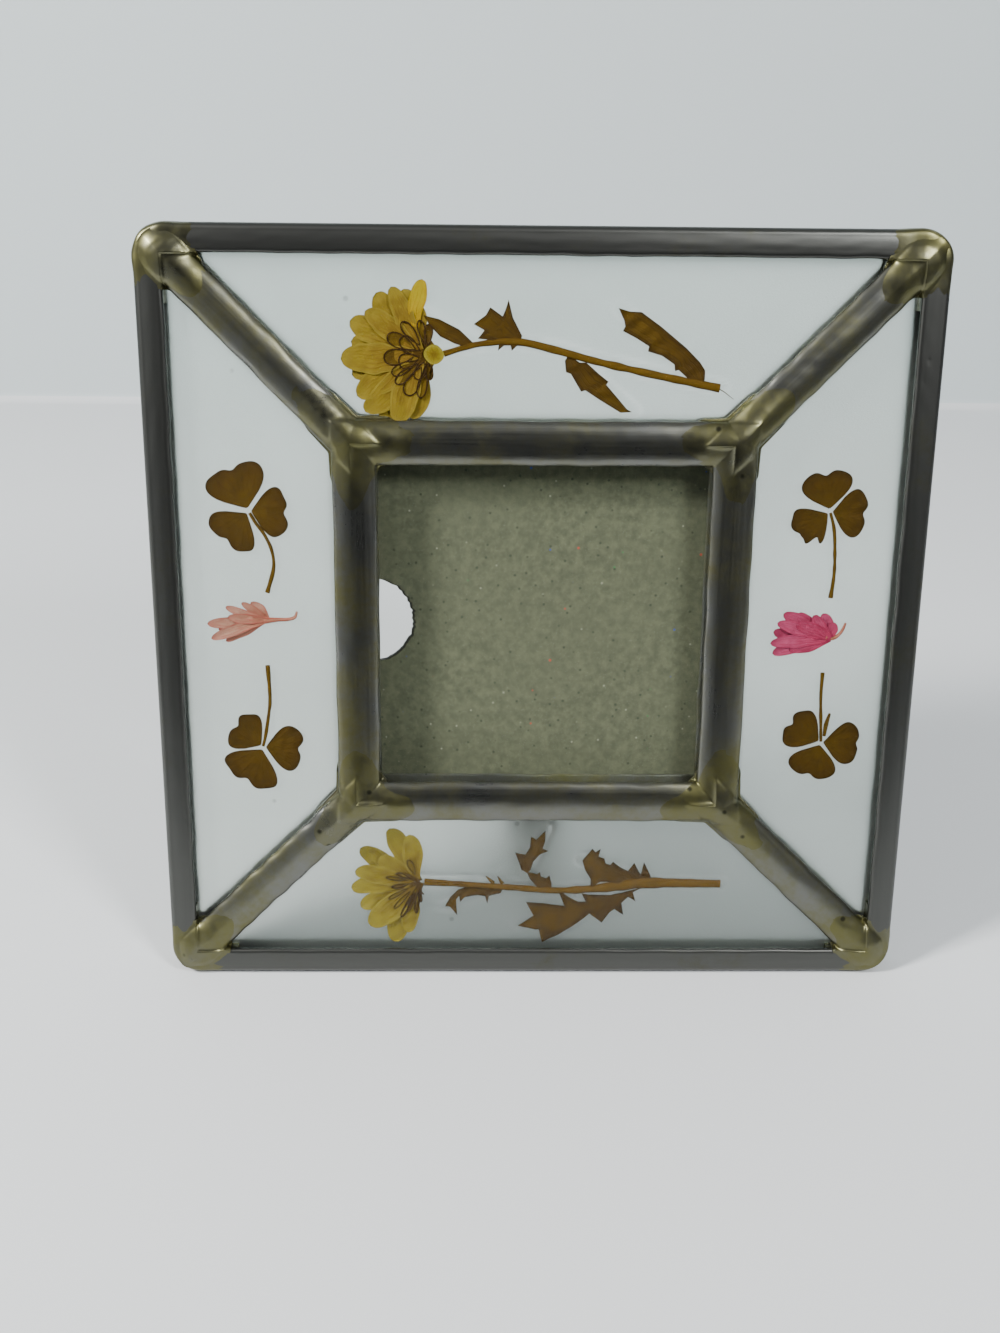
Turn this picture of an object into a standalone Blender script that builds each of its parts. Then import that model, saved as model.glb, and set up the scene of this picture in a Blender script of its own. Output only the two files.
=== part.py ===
"""Pressed flower frame: a square leaded-glass frame that leans back on a soldered leg.

The frame is laid out flat first (x across, y up the frame, z out of its front), then stood up and leant back.
Each of the four sides is drawn as the top side (x along it, y outward) and turned about z to its place.
Lengths are in metres.
"""

import math

import bmesh
import bpy
from mathutils import Matrix

# Whole frame
HALF = 0.0650
LEAN = math.radians(11.0)
STAND_HEIGHT = 0.06381
STAND_BACK = -0.00638
SLOPE = math.radians(4.5)

# Sandwich of each panel, measured from its middle plane
GLASS = 0.0012
BED = 0.00045
PRESSED = 0.0003
GLASS_MIDDLE = BED + GLASS / 2

# Lead cames
SLOT = BED + GLASS + 0.0003
OUTER_FACE = 0.0045
OUTER_WEB = 0.0016
OUTER_END = 0.0595
DIAGONAL_HALF = 0.0033
DIAGONAL_START = 0.0578
DIAGONAL_STOP = 0.0362
WINDOW_HALF = 0.0275
WINDOW_FACE = 0.0072
WINDOW_END = 0.0269
WINDOW_MIDDLE = 0.00245
WINDOW_SLOT = SLOT + 0.0001
WINDOW_SHIFT = 0.0005
CROWN = 0.0013

# Back of the window
CARD_HALF = 0.0309
CARD_BACK = -0.0025
CARD_THICK = 0.0012
NOTCH_RADIUS = 0.0074
NOTCH_CENTRE = -0.0293
POCKET_OUT = 0.0329
POCKET_SLOT = 0.0313
POCKET_BACK = -0.0039
POCKET_FRONT = -0.0013
LEG_WIDTH = 0.0100
LEG_THICK = 0.0012

for old in list(bpy.data.objects):
    bpy.data.objects.remove(old)

collection = bpy.data.collections.new("pressed_flower_frame")
cutters = bpy.data.collections.new("cutters")
bpy.context.scene.collection.children.link(collection)
bpy.context.scene.collection.children.link(cutters)

STAND = Matrix.Translation((0, STAND_BACK, STAND_HEIGHT)) @ Matrix.Rotation(math.pi / 2 - LEAN, 4, "X")
TILT = (
    Matrix.Translation((0, HALF, 0))
    @ Matrix.Rotation(-SLOPE, 4, "X")
    @ Matrix.Translation((0, -HALF, 0))
)
SHIFT = Matrix.Translation((WINDOW_SHIFT, 0, 0))
SIDES = ("top", "right", "bottom", "left")
CORNERS = ("top_right", "bottom_right", "bottom_left", "top_left")


def turn(side):
    """Turns a shape drawn for the top side to the numbered side, clockwise from the top."""
    return Matrix.Rotation(-math.pi / 2 * side, 4, "Z")


def material(name, color, roughness, metallic=0.0, transmission=0.0):
    made = bpy.data.materials.new(name)
    made.use_nodes = True
    shader = made.node_tree.nodes["Principled BSDF"]
    shader.inputs["Base Color"].default_value = (*color, 1.0)
    shader.inputs["Roughness"].default_value = roughness
    shader.inputs["Metallic"].default_value = metallic
    shader.inputs["Transmission Weight"].default_value = transmission
    made.diffuse_color = (*color, 1.0)
    return made


LEAD = material("dark_lead", (0.08, 0.08, 0.07), 0.42, 1.0)
SOLDER = material("patina_solder", (0.14, 0.13, 0.10), 0.35, 1.0)
CLEAR = material("clear_glass", (0.90, 0.94, 0.92), 0.05, 0.0, 1.0)
FROSTED = material("frosted_glass", (0.60, 0.65, 0.60), 0.60, 0.0, 0.5)
BOARD = material("grey_chipboard", (0.20, 0.21, 0.14), 0.90)
STRIP = material("leg_strip", (0.20, 0.18, 0.14), 0.45, 1.0)
GOLD_PETAL = material("gold_petals", (0.62, 0.36, 0.07), 0.80)
PALE_PETAL = material("pale_petals", (0.58, 0.46, 0.12), 0.80)
PINK_PETAL = material("pink_petals", (0.68, 0.28, 0.24), 0.80)
MAGENTA_PETAL = material("magenta_petals", (0.68, 0.10, 0.24), 0.80)
DISC_BROWN = material("dried_disc", (0.16, 0.08, 0.02), 0.90)
STEM_BROWN = material("dried_stem", (0.20, 0.10, 0.03), 0.85)
LEAF_GREEN = material("dried_leaf", (0.13, 0.09, 0.02), 0.85)
CLOVER = material("dried_clover", (0.20, 0.09, 0.02), 0.85)


def link(obj, made_of, place, to=collection):
    obj.matrix_world = STAND @ place
    if made_of:
        obj.data.materials.append(made_of)
    to.objects.link(obj)
    return obj


def prism(name, outline, low, high, made_of, place, to=collection):
    """A closed outline in the layout plane, filled and extruded from low to high."""
    curve = bpy.data.curves.new(name, "CURVE")
    curve.dimensions = "2D"
    curve.fill_mode = "BOTH"
    curve.extrude = (high - low) / 2
    spline = curve.splines.new("POLY")
    spline.points.add(len(outline) - 1)
    for point, (x, y) in zip(spline.points, outline):
        point.co = (x, y, 0, 1)
    spline.use_cyclic_u = True
    drawn = bpy.data.objects.new(name + "_curve", curve)
    mesh = bpy.data.meshes.new_from_object(drawn)
    bpy.data.objects.remove(drawn)
    mesh.name = name
    mesh.transform(Matrix.Translation((0, 0, (high + low) / 2)))
    welded = bmesh.new()
    welded.from_mesh(mesh)
    bmesh.ops.remove_doubles(welded, verts=welded.verts, dist=0.000005)
    bmesh.ops.recalc_face_normals(welded, faces=welded.faces)
    welded.to_mesh(mesh)
    welded.free()
    return link(bpy.data.objects.new(name, mesh), made_of, place, to)


def bar(name, profile, half_length, made_of, place):
    """A came: its cross-section drawn as (outward, forward) and extruded along the side."""
    made = prism(name, profile, -half_length, half_length, made_of, Matrix.Identity(4))
    along = Matrix(((0, 0, 1, 0), (1, 0, 0, 0), (0, 1, 0, 0), (0, 0, 0, 1)))
    made.data.transform(along)
    made.matrix_world = STAND @ place
    return made


def cut(obj, cutter):
    """Takes the cutter away from the object."""
    cutter.hide_render = True
    cutter.display_type = "WIRE"
    removal = obj.modifiers.new("cut_" + cutter.name, "BOOLEAN")
    removal.operation = "DIFFERENCE"
    removal.solver = "EXACT"
    removal.object = cutter


def box_outline(x0, x1, y0, y1):
    return [(x0, y0), (x1, y0), (x1, y1), (x0, y1)]


def half_round(half, low, crown, steps=8):
    """The arc of a half-round flange, from its +x edge over its crown to its -x edge."""
    rim = low + 0.0005
    arc = [math.pi * i / steps for i in range(steps + 1)]
    return [(half * math.cos(a), rim + (crown - rim) * math.sin(a) ** 0.8) for a in arc]


def h_came(half, web, slot, crown):
    """A round-faced H came: a flange in front, a web between the glass edges, a flange behind."""
    front = half_round(half, slot, slot + crown)
    back = [(-x, -y) for x, y in front]
    return (
        [(web, slot), (half, slot)] + front + [(-half, slot), (-web, slot)]
        + [(-web, -slot), (-half, -slot)] + back + [(half, -slot), (web, -slot)]
    )


def u_came():
    """The outer channel: a rounded back wall with a lip in front of the glass and one behind it."""
    inner = HALF - OUTER_FACE
    wall = HALF - OUTER_WEB
    front = [
        (HALF, 0.0022), (HALF - 0.0003, 0.0027), (HALF - 0.0011, 0.0030), (HALF - 0.0024, 0.00305),
        (inner + 0.0009, 0.00285), (inner, SLOT + 0.0005), (inner, SLOT), (wall, SLOT),
    ]
    return front + [(x, -y) for x, y in reversed(front)]


# Outer channel and panels, one set for each side
INNER = HALF - OUTER_FACE
for number, side in enumerate(SIDES):
    to_side = turn(number)
    in_panel = to_side @ TILT
    bar("outer_came_" + side, u_came(), OUTER_END - 0.0003, LEAD, in_panel)
    across = WINDOW_SHIFT * (1, 0, -1, 0)[number]
    outward = WINDOW_SHIFT * (0, 1, 0, -1)[number]
    edge = WINDOW_HALF + WINDOW_FACE
    outer_end = [(0.0555, HALF - 0.0019), (0.0555, 0.0601), (0.05716, 0.05844)]
    window_end = [(0.0360, 0.03727), (0.0333, 0.0389), (0.0298, edge + 0.0004), (0.0268, edge + 0.0004), (0.0268, 0.0321)]
    right = outer_end + [(x + across, y + outward) for x, y in window_end]
    left = [(across - x, y + outward) for x, y in window_end[::-1]] + [(-x, y) for x, y in outer_end[::-1]]
    prism("front_glass_" + side, right + left, BED, BED + GLASS, CLEAR, in_panel)
    prism("frosted_back_" + side, right + left, -BED - GLASS, -BED, FROSTED, in_panel)

# Diagonal cames along the four hips
for number, corner in enumerate(CORNERS):
    angle = math.pi / 2 * number
    shift_x = WINDOW_SHIFT * (math.cos(angle))
    shift_y = WINDOW_SHIFT * (math.sin(angle))
    start_x = DIAGONAL_START
    stop_x = DIAGONAL_STOP + shift_x
    stop_y = DIAGONAL_STOP + shift_y
    rise_start = (HALF - DIAGONAL_START) * math.tan(SLOPE)
    rise_stop = (HALF - DIAGONAL_STOP) * math.tan(SLOPE)
    run = math.hypot(start_x - stop_x, start_x - stop_y)
    heading = math.atan2(start_x - stop_y, start_x - stop_x)
    dip = math.atan2(rise_stop - rise_start, run)
    place = (
        turn(number)
        @ Matrix.Translation(((start_x + stop_x) / 2, (start_x + stop_y) / 2, (rise_start + rise_stop) / 2))
        @ Matrix.Rotation(heading, 4, "Z")
        @ Matrix.Rotation(dip, 4, "Y")
    )
    half_length = math.hypot(run, rise_stop - rise_start) / 2
    bar("diagonal_came_" + corner, h_came(DIAGONAL_HALF, 0.0006, 0.0021, 0.0012), half_length, LEAD, place)

# Round-faced cames of the window
for number, side in enumerate(SIDES):
    middle = WINDOW_HALF + WINDOW_FACE / 2
    place = SHIFT @ turn(number) @ Matrix.Translation((0, middle, WINDOW_MIDDLE))
    profile = h_came(WINDOW_FACE / 2, 0.0007, WINDOW_SLOT, CROWN)
    bar("window_came_" + side, profile, WINDOW_END, LEAD, place)


# The bottom edge is worn flat where it stands
floor = prism("floor_plane", box_outline(-0.09, 0.09, -0.05, 0.05), -0.010, 0, None, Matrix.Identity(4), cutters)
floor.matrix_world = Matrix.Identity(4)
cut(bpy.data.objects["outer_came_bottom"], floor)


def lump(name, outline, low, high, place, standing=False):
    """A soldered joint: a patch with softened edges that fills the corner between the cames."""
    made = prism(name, outline, low, high, SOLDER, place)
    if standing:
        cut(made, floor)
    soft = made.modifiers.new("soften", "BEVEL")
    soft.width = 0.0007
    soft.segments = 1
    soft.limit_method = "ANGLE"
    soft.angle_limit = math.radians(25)
    return made


def corner_outline():
    """The outer corner, rounded outside, with a gusset that meets the diagonal came."""
    radius = 0.0052
    centre = HALF - radius
    arc = [math.pi / 2 * i / 6 for i in range(7)]
    rounded = [(centre + radius * math.cos(a), centre + radius * math.sin(a)) for a in arc]
    return rounded + [(centre, 0.0602), (0.0561, 0.0602), (0.0602, 0.0561), (0.0602, centre)]


def window_corner_outline():
    """The window's corner, with a small fillet inside it and a gusset toward the diagonal came."""
    inner = WINDOW_HALF
    outer = WINDOW_HALF + WINDOW_FACE
    inner = WINDOW_END + 0.0003
    outer = WINDOW_HALF + WINDOW_FACE
    return [(inner, inner), (outer, inner), (outer, 0.0302), (0.0382, 0.0336), (0.0336, 0.0382), (0.0302, outer), (inner, outer)]


for number, corner in enumerate(CORNERS):
    lump("outer_joint_" + corner, corner_outline(), -0.0029, 0.0034, turn(number), "bottom" in corner)
    lump("window_joint_" + corner, window_corner_outline(), -0.0008, 0.0062, SHIFT @ turn(number))

# Window glass, backing board with its thumb notch, and the pocket that it slides into
pane = WINDOW_HALF + 0.0025
step = 0.0268
prism("window_glass", [
    (-pane, -step), (-step, -step), (-step, -pane), (step, -pane), (step, -step), (pane, -step),
    (pane, step), (step, step), (step, pane), (-step, pane), (-step, step), (-pane, step),
], 0.0029, 0.0041, CLEAR, SHIFT)

turns = [math.pi / 2 - math.pi * i / 20 for i in range(21)]
notch = [
    (NOTCH_CENTRE + NOTCH_RADIUS * math.cos(a), NOTCH_RADIUS * math.sin(a)) for a in turns
]
prism("backing_board", [
    (-CARD_HALF, -CARD_HALF), (CARD_HALF, -CARD_HALF), (CARD_HALF, CARD_HALF), (-CARD_HALF, CARD_HALF),
    (-CARD_HALF, NOTCH_RADIUS),
] + notch + [(-CARD_HALF, -NOTCH_RADIUS)], CARD_BACK, CARD_BACK + CARD_THICK, BOARD, SHIFT)

open_end = -0.0325
pocket = prism("slide_pocket", [
    (open_end, -POCKET_OUT), (POCKET_OUT, -POCKET_OUT), (POCKET_OUT, POCKET_OUT), (open_end, POCKET_OUT),
    (open_end, 0.0275), (0.0275, 0.0275), (0.0275, -0.0275), (open_end, -0.0275),
], POCKET_BACK, POCKET_FRONT, LEAD, SHIFT)
slot = prism(
    "slide_slot", box_outline(-0.040, POCKET_SLOT, -POCKET_SLOT, POCKET_SLOT),
    CARD_BACK - 0.0003, 0.001, None, SHIFT, cutters,
)
cut(pocket, slot)

# The leg: a strip soldered to the pocket's lower bar, bent down and back to a flat foot
route = [(0.0007, 0.0424), (-0.0013, 0.0320), (0.0220, LEG_THICK / 2), (0.0285, LEG_THICK / 2)]


def strip_outline(points, thick):
    """Both sides of a bent strip, from its middle line."""
    sides = ([], [])
    for i, (x, y) in enumerate(points):
        before = points[max(i - 1, 0)]
        after = points[min(i + 1, len(points) - 1)]
        a = math.atan2(y - before[1], x - before[0]) if i else None
        b = math.atan2(after[1] - y, after[0] - x) if i < len(points) - 1 else None
        a = b if a is None else a
        b = a if b is None else b
        middle = (a + b) / 2
        reach = thick / 2 / math.cos((b - a) / 2)
        for sign, line in zip((1, -1), sides):
            line.append((x - sign * reach * math.sin(middle), y + sign * reach * math.cos(middle)))
    return sides[0] + sides[1][::-1]


leg = prism("rear_leg", strip_outline(route, LEG_THICK), -LEG_WIDTH / 2, LEG_WIDTH / 2, STRIP, Matrix.Identity(4))
upright = Matrix(((0, 0, 1, WINDOW_SHIFT), (1, 0, 0, STAND_BACK), (0, 1, 0, 0), (0, 0, 0, 1)))
leg.matrix_world = upright


# Pressed specimens. Each lies in the bed of its panel, between the glass and the frosted sheet.
def pressed(name, outline, made_of, side):
    """A flat specimen, drawn where it lies in the layout, then tilted with its panel."""
    number = SIDES.index(side)
    back = turn(number).inverted()
    local = [tuple((back @ Matrix.Translation((x, y, 0))).translation[:2]) for x, y in outline]
    return prism(name, local, -PRESSED / 2, PRESSED / 2, made_of, turn(number) @ TILT)


def ribbon(points, widths):
    """A stem: a line of the given widths, as a closed outline."""
    near, far = [], []
    for i, (x, y) in enumerate(points):
        before = points[max(i - 1, 0)]
        after = points[min(i + 1, len(points) - 1)]
        heading = math.atan2(after[1] - before[1], after[0] - before[0])
        half = widths[i] / 2
        near.append((x - half * math.sin(heading), y + half * math.cos(heading)))
        far.append((x + half * math.sin(heading), y - half * math.cos(heading)))
    return near + far[::-1]


def millimetres(points):
    return [(x / 1000, y / 1000) for x, y in points]


def clover(centre, size, stem, width=0.0010):
    """Three heart-shaped leaflets about the centre, with the stem leaving between two of them."""
    x0, y0 = centre
    gap = math.atan2(stem[0][1] - y0, stem[0][0] - x0)
    third = 2 * math.pi / 3
    steps = 54
    outline = []
    for i in range(steps + 1):
        a = gap + 0.16 + (2 * math.pi - 0.32) * i / steps
        off = (a - gap) % third - third / 2
        lobe = math.cos(1.5 * off) ** 0.45
        r = size * (0.10 + 0.90 * lobe - 0.20 * math.exp(-((off / 0.11) ** 2)))
        outline.append((x0 + r * math.cos(a), y0 + r * math.sin(a)))
    start = (x0 + 0.64 * size * math.cos(gap), y0 + 0.64 * size * math.sin(gap))
    side = ribbon([start] + stem, [width] * (len(stem) + 1))
    near, far = side[: len(stem) + 1], side[len(stem) + 1 :]
    return outline + far[::-1] + near[::-1]


def daisy_fan(centre, inner, outer, start, stop, petals, tall=1.0):
    """Petals fanned to one side of a pressed daisy, as one sheet with a lobed rim."""
    x0, y0 = centre
    steps = petals * 6
    rim, bed = [], []
    for i in range(steps + 1):
        a = start + (stop - start) * i / steps
        lobe = abs(math.sin(math.pi * petals * i / steps)) ** 0.5
        r = outer * (0.80 + 0.20 * lobe)
        rim.append((x0 + r * math.cos(a), y0 + tall * r * math.sin(a)))
        bed.append((x0 + inner * math.cos(a), y0 + inner * math.sin(a)))
    return rim + bed[::-1][::3]


def oval(centre, width, height, steps=16):
    turns = [2 * math.pi * i / steps for i in range(steps)]
    return [(centre[0] + width * math.cos(a), centre[1] + height * math.sin(a)) for a in turns]


def toothed_leaf(base, tip, width, teeth, bow=0.0):
    """A narrow leaf with pointed teeth, bowed to one side of the line from its base to its tip."""
    run_x, run_y = tip[0] - base[0], tip[1] - base[1]
    long = math.hypot(run_x, run_y)
    near, far = [], []
    steps = teeth * 2
    for i in range(steps + 1):
        t = i / steps
        body = 0.00015 + width / 2 * math.sin(math.pi * (0.08 + 0.92 * t) ** 0.9) ** 0.7
        reach = body * (1.0 if i % 2 else 0.52)
        off = bow * math.sin(math.pi * t)
        for sign, line in ((1, near), (-1, far)):
            side_way = off + sign * reach
            line.append((
                base[0] + run_x * t - run_y / long * side_way,
                base[1] + run_y * t + run_x / long * side_way,
            ))
    return near + far[::-1]


# Golden daisy in the top panel
pressed("top_daisy_petals", daisy_fan((-0.0188, 0.0456), 0.0052, 0.0135, 1.50, 4.80, 9, 0.75), GOLD_PETAL, "top")
pressed("top_daisy_disc", oval((-0.0196, 0.0456), 0.0030, 0.0042), DISC_BROWN, "top")
pressed("top_daisy_stem", ribbon(
    millimetres([(-16.2, 45.5), (-10.7, 46.6), (-4.3, 47.0), (2.1, 45.7), (8.6, 44.1), (18.4, 41.9), (28.2, 40.2)]),
    [0.0016, 0.0010, 0.0010, 0.0010, 0.0011, 0.0011, 0.0010],
), STEM_BROWN, "top")
pressed("top_daisy_leaf_bud", toothed_leaf((-0.0112, 0.0475), (-0.0164, 0.0505), 0.0016, 4), LEAF_GREEN, "top")
pressed("top_daisy_leaf_lobed", toothed_leaf((-0.0041, 0.0486), (-0.0100, 0.0532), 0.0050, 3), LEAF_GREEN, "top")
pressed("top_daisy_leaf_lower", toothed_leaf((0.0036, 0.0444), (0.0132, 0.0366), 0.0020, 6), LEAF_GREEN, "top")
pressed("top_daisy_leaf_upper", toothed_leaf((0.0238, 0.0424), (0.0118, 0.0522), 0.0036, 7), LEAF_GREEN, "top")

# Pale daisy in the bottom panel
pressed("bottom_daisy_petals", daisy_fan((-0.0205, -0.0469), 0.0052, 0.0122, 1.55, 4.78, 8, 0.94), PALE_PETAL, "bottom")
pressed("bottom_daisy_disc", oval((-0.0212, -0.0469), 0.0030, 0.0042), DISC_BROWN, "bottom")
pressed("bottom_daisy_stem", ribbon(
    millimetres([(-17.8, -46.5), (-6.0, -47.1), (4.3, -47.8), (12.0, -47.4), (18.6, -46.7), (33.0, -46.9)]),
    [0.0014, 0.0012, 0.0013, 0.0015, 0.0020, 0.0014],
), STEM_BROWN, "bottom")
pressed("bottom_daisy_leaf_near", toothed_leaf((-0.0068, -0.0486), (-0.0156, -0.0514), 0.0023, 5), LEAF_GREEN, "bottom")
pressed("bottom_daisy_leaf_rising", toothed_leaf((0.0014, -0.0466), (-0.0004, -0.0390), 0.0038, 5), LEAF_GREEN, "bottom")
pressed("bottom_daisy_leaf_upper", toothed_leaf((0.0194, -0.0444), (0.0080, -0.0412), 0.0040, 6), LEAF_GREEN, "bottom")
pressed("bottom_daisy_leaf_large", toothed_leaf((0.0200, -0.0490), (-0.0028, -0.0562), 0.0052, 8), LEAF_GREEN, "bottom")

# Clovers and florets in the side panels
pressed("clover_top_left", clover((-0.0484, 0.0201), 0.0072, millimetres(
    [(-44.9, 13.2), (-44.8, 10.2), (-45.9, 6.2)])), CLOVER, "left")
pressed("clover_bottom_left", clover((-0.0476, -0.0222), 0.0074, millimetres(
    [(-46.0, -12.9), (-46.4, -6.7)])), CLOVER, "left")
pressed("clover_top_right", clover((0.0478, 0.0205), 0.0070, millimetres(
    [(49.2, 11.0), (49.1, 5.4)])), CLOVER, "right")
pressed("clover_bottom_right", clover((0.0492, -0.0210), 0.0071, millimetres(
    [(48.6, -12.0), (48.4, -8.3)])), CLOVER, "right")
pressed("pink_floret_petals", daisy_fan((-0.0470, 0.0008), 0.0010, 0.0088, 2.45, 3.75, 3), PINK_PETAL, "left")
pressed("pink_floret_stem", ribbon(
    millimetres([(-47.3, 1.0), (-45.0, 1.0), (-42.9, 1.3), (-41.5, 2.6)]), [0.0013, 0.0010, 0.0009, 0.0007]),
    STEM_BROWN, "left")
pressed("magenta_floret_petals", daisy_fan((0.0478, -0.0010), 0.0010, 0.0088, 2.55, 3.65, 3), MAGENTA_PETAL, "right")
pressed("magenta_floret_stem", ribbon(
    millimetres([(47.5, -1.1), (49.6, -1.6), (51.0, -0.9), (51.7, 0.6)]), [0.0012, 0.0010, 0.0009, 0.0007]),
    STEM_BROWN, "right")
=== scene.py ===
"""Pressed flower frame: the looks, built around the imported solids.

Shapes are worked out in the frame's own layout, in millimetres: u across, v up the frame and w out of its front,
as if the frame lay flat. stand() then leans it back on its leg and gives metres.
"""

from math import cos, pi, radians, sin, tan, tau

import bmesh
import bpy
import numpy as np
from mathutils import Euler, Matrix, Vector


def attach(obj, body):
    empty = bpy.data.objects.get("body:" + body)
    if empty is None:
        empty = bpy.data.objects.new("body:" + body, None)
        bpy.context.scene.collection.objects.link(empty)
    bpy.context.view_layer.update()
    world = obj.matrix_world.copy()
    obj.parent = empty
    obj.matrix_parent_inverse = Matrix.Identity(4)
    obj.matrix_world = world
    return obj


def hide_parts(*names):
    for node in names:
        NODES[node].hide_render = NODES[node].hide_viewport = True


bl_info = {
    "name": "Pressed Flower Frame",
    "version": (1, 0, 0),
    "blender": (4, 5, 0),
    "location": "3D View > Sidebar > Flower Frame",
    "description": "Builds a leaded-glass frame with pressed flowers around its packed solids",
    "category": "Object",
}

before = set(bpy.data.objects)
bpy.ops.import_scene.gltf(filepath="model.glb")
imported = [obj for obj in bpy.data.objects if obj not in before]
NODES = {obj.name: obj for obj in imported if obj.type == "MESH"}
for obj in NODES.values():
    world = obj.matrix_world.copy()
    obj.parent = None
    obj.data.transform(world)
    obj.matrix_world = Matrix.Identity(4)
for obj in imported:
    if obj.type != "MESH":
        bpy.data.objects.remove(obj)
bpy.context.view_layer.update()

# The solids' own sizes, in millimetres
HALF = 65.0
LEAN = radians(11)
SLOPE = tan(radians(4.5))
SET_BACK = -6.38
SET_UP = 63.81
BED = 0.45
PANE = 1.2
LIP = 4.6
CORNER = 5.2
WINDOW = 27.5
CAME = 3.6
CAME_RUN = WINDOW + CAME
CAME_MID = 2.45
WINDOW_SHIFT = 0.5
DIAGONAL = 3.3
HIP_OUT = 60.0
HIP_IN = 33.4
SIDES = ("top", "right", "bottom", "left")
CORNERS = ("top_right", "bottom_right", "bottom_left", "top_left")


def stand(points):
    """Layout millimetres to metres as it stands: v and w turn back by the lean, and the edge below the table is
    worn flat."""
    u, v, w = points[..., 0], points[..., 1], points[..., 2]
    back = v * sin(LEAN) - w * cos(LEAN) + SET_BACK
    up = v * cos(LEAN) + w * sin(LEAN) + SET_UP
    return np.stack([u, back, np.maximum(up, 0.0)], -1) * 0.001


def turned(u, v, quarter):
    """The layout place turned clockwise by a number of quarters, from the top side."""
    for _ in range(quarter % 4):
        u, v = v, -u
    return u, v


def mid(u, v):
    """Middle plane of the panels: it rises toward the window by the slope, from the nearest outer edge."""
    return (HALF - np.maximum(np.abs(u), np.abs(v))) * SLOPE


def waves(x, y, seed, size, count=5):
    """Unevenness: a sum of slanted sines, each with its own heading, length near the size, and phase."""
    chance = np.random.default_rng(seed)
    total = np.zeros(np.broadcast(x, y).shape)
    for _ in range(count):
        heading, phase = chance.uniform(0, tau, 2)
        length = size * chance.uniform(0.6, 1.6)
        total = total + np.sin(tau * (x * cos(heading) + y * sin(heading)) / length + phase)
    return total / np.sqrt(count)


def smooth(x, low, high):
    """Zero below low, one above high, an S between."""
    t = np.clip((x - low) / (high - low), 0, 1)
    return t * t * (3 - 2 * t)


def smoothest_of(heights, softness):
    """The higher of the heights, with a fillet where they meet: softness times the log of the summed
    exponentials."""
    stacked = np.stack(np.broadcast_arrays(*heights)) / softness
    top = stacked.max(0)
    return softness * (top + np.log(np.exp(stacked - top).sum(0)))


# ---- shells: points with their faces, a UV place for each point, and named marks


def grid_quads(rows, columns, wrap=False):
    index = np.arange(rows * columns).reshape(rows, columns)
    if wrap:
        index = np.concatenate([index, index[:, :1]], 1)
    return np.stack([index[:-1, :-1], index[1:, :-1], index[1:, 1:], index[:-1, 1:]], -1).reshape(-1, 4)


def tube_shell(points, uv=None, marks=None):
    """A closed profile carried along a path, as rows of a grid, with both ends closed by a fan."""
    rows, columns = points.shape[:2]
    ends = np.stack([points[0].mean(0), points[-1].mean(0)])
    quads = grid_quads(rows, columns, True)
    ring = np.arange(columns)
    after = np.roll(ring, -1)
    first = np.stack([np.full(columns, rows * columns), ring, after], -1)
    last_ring = ring + (rows - 1) * columns
    last = np.stack([np.full(columns, rows * columns + 1), after + (rows - 1) * columns, last_ring], -1)
    if uv is None:
        v, u = np.meshgrid(np.linspace(0, 1, columns), np.linspace(0, 1, rows))
        uv = np.stack([u, v], -1)
    uv = np.concatenate([uv.reshape(-1, 2), [uv[0].mean(0), uv[-1].mean(0)]])
    kept = {}
    for name, values in (marks or {}).items():
        kept[name] = np.append(values.reshape(-1), [values[0].mean(), values[-1].mean()])
    return np.concatenate([points.reshape(-1, 3), ends]), [quads, first, last], uv, kept


def rim_of(rows, columns):
    index = np.arange(rows * columns).reshape(rows, columns)
    return np.concatenate([index[0, :-1], index[:-1, -1], index[-1, :0:-1], index[:0:-1, 0]])


def sheet_shell(front, back, uv, marks=None):
    """Two grids of the same size, one over the other, joined around their rims."""
    rows, columns = front.shape[:2]
    count = rows * columns
    quads = grid_quads(rows, columns)
    rim = rim_of(rows, columns)
    after = np.roll(rim, -1)
    wall = np.stack([rim, after, after + count, rim + count], -1)
    kept = {name: np.tile(values.reshape(-1), 2) for name, values in (marks or {}).items()}
    points = np.concatenate([front.reshape(-1, 3), back.reshape(-1, 3)])
    return points, [quads, quads[:, ::-1] + count, wall], np.tile(uv.reshape(-1, 2), (2, 1)), kept


def disc_shell(front, back, uv, marks=None):
    """Two discs, one over the other, given as rings from the middle out, joined around their rims."""
    rows, columns = front.shape[:2]
    count = rows * columns
    quads = grid_quads(rows, columns, True)
    ring = np.arange(columns)
    after = np.roll(ring, -1)
    poles = np.stack([front[0].mean(0), back[0].mean(0)])
    top = np.stack([np.full(columns, 2 * count), ring, after], -1)
    under = np.stack([np.full(columns, 2 * count + 1), after + count, ring + count], -1)
    edge, next_edge = ring + count - columns, after + count - columns
    wall = np.stack([edge, edge + count, next_edge + count, next_edge], -1)
    kept = {}
    for name, values in (marks or {}).items():
        kept[name] = np.concatenate([values.reshape(-1), values.reshape(-1), [values[0].mean()] * 2])
    flat = uv.reshape(-1, 2)
    points = np.concatenate([front.reshape(-1, 3), back.reshape(-1, 3), poles])
    return points, [quads, quads[:, ::-1] + count, top, under,
        wall], np.concatenate([flat, flat, [uv[0].mean(0)] * 2]), kept


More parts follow.
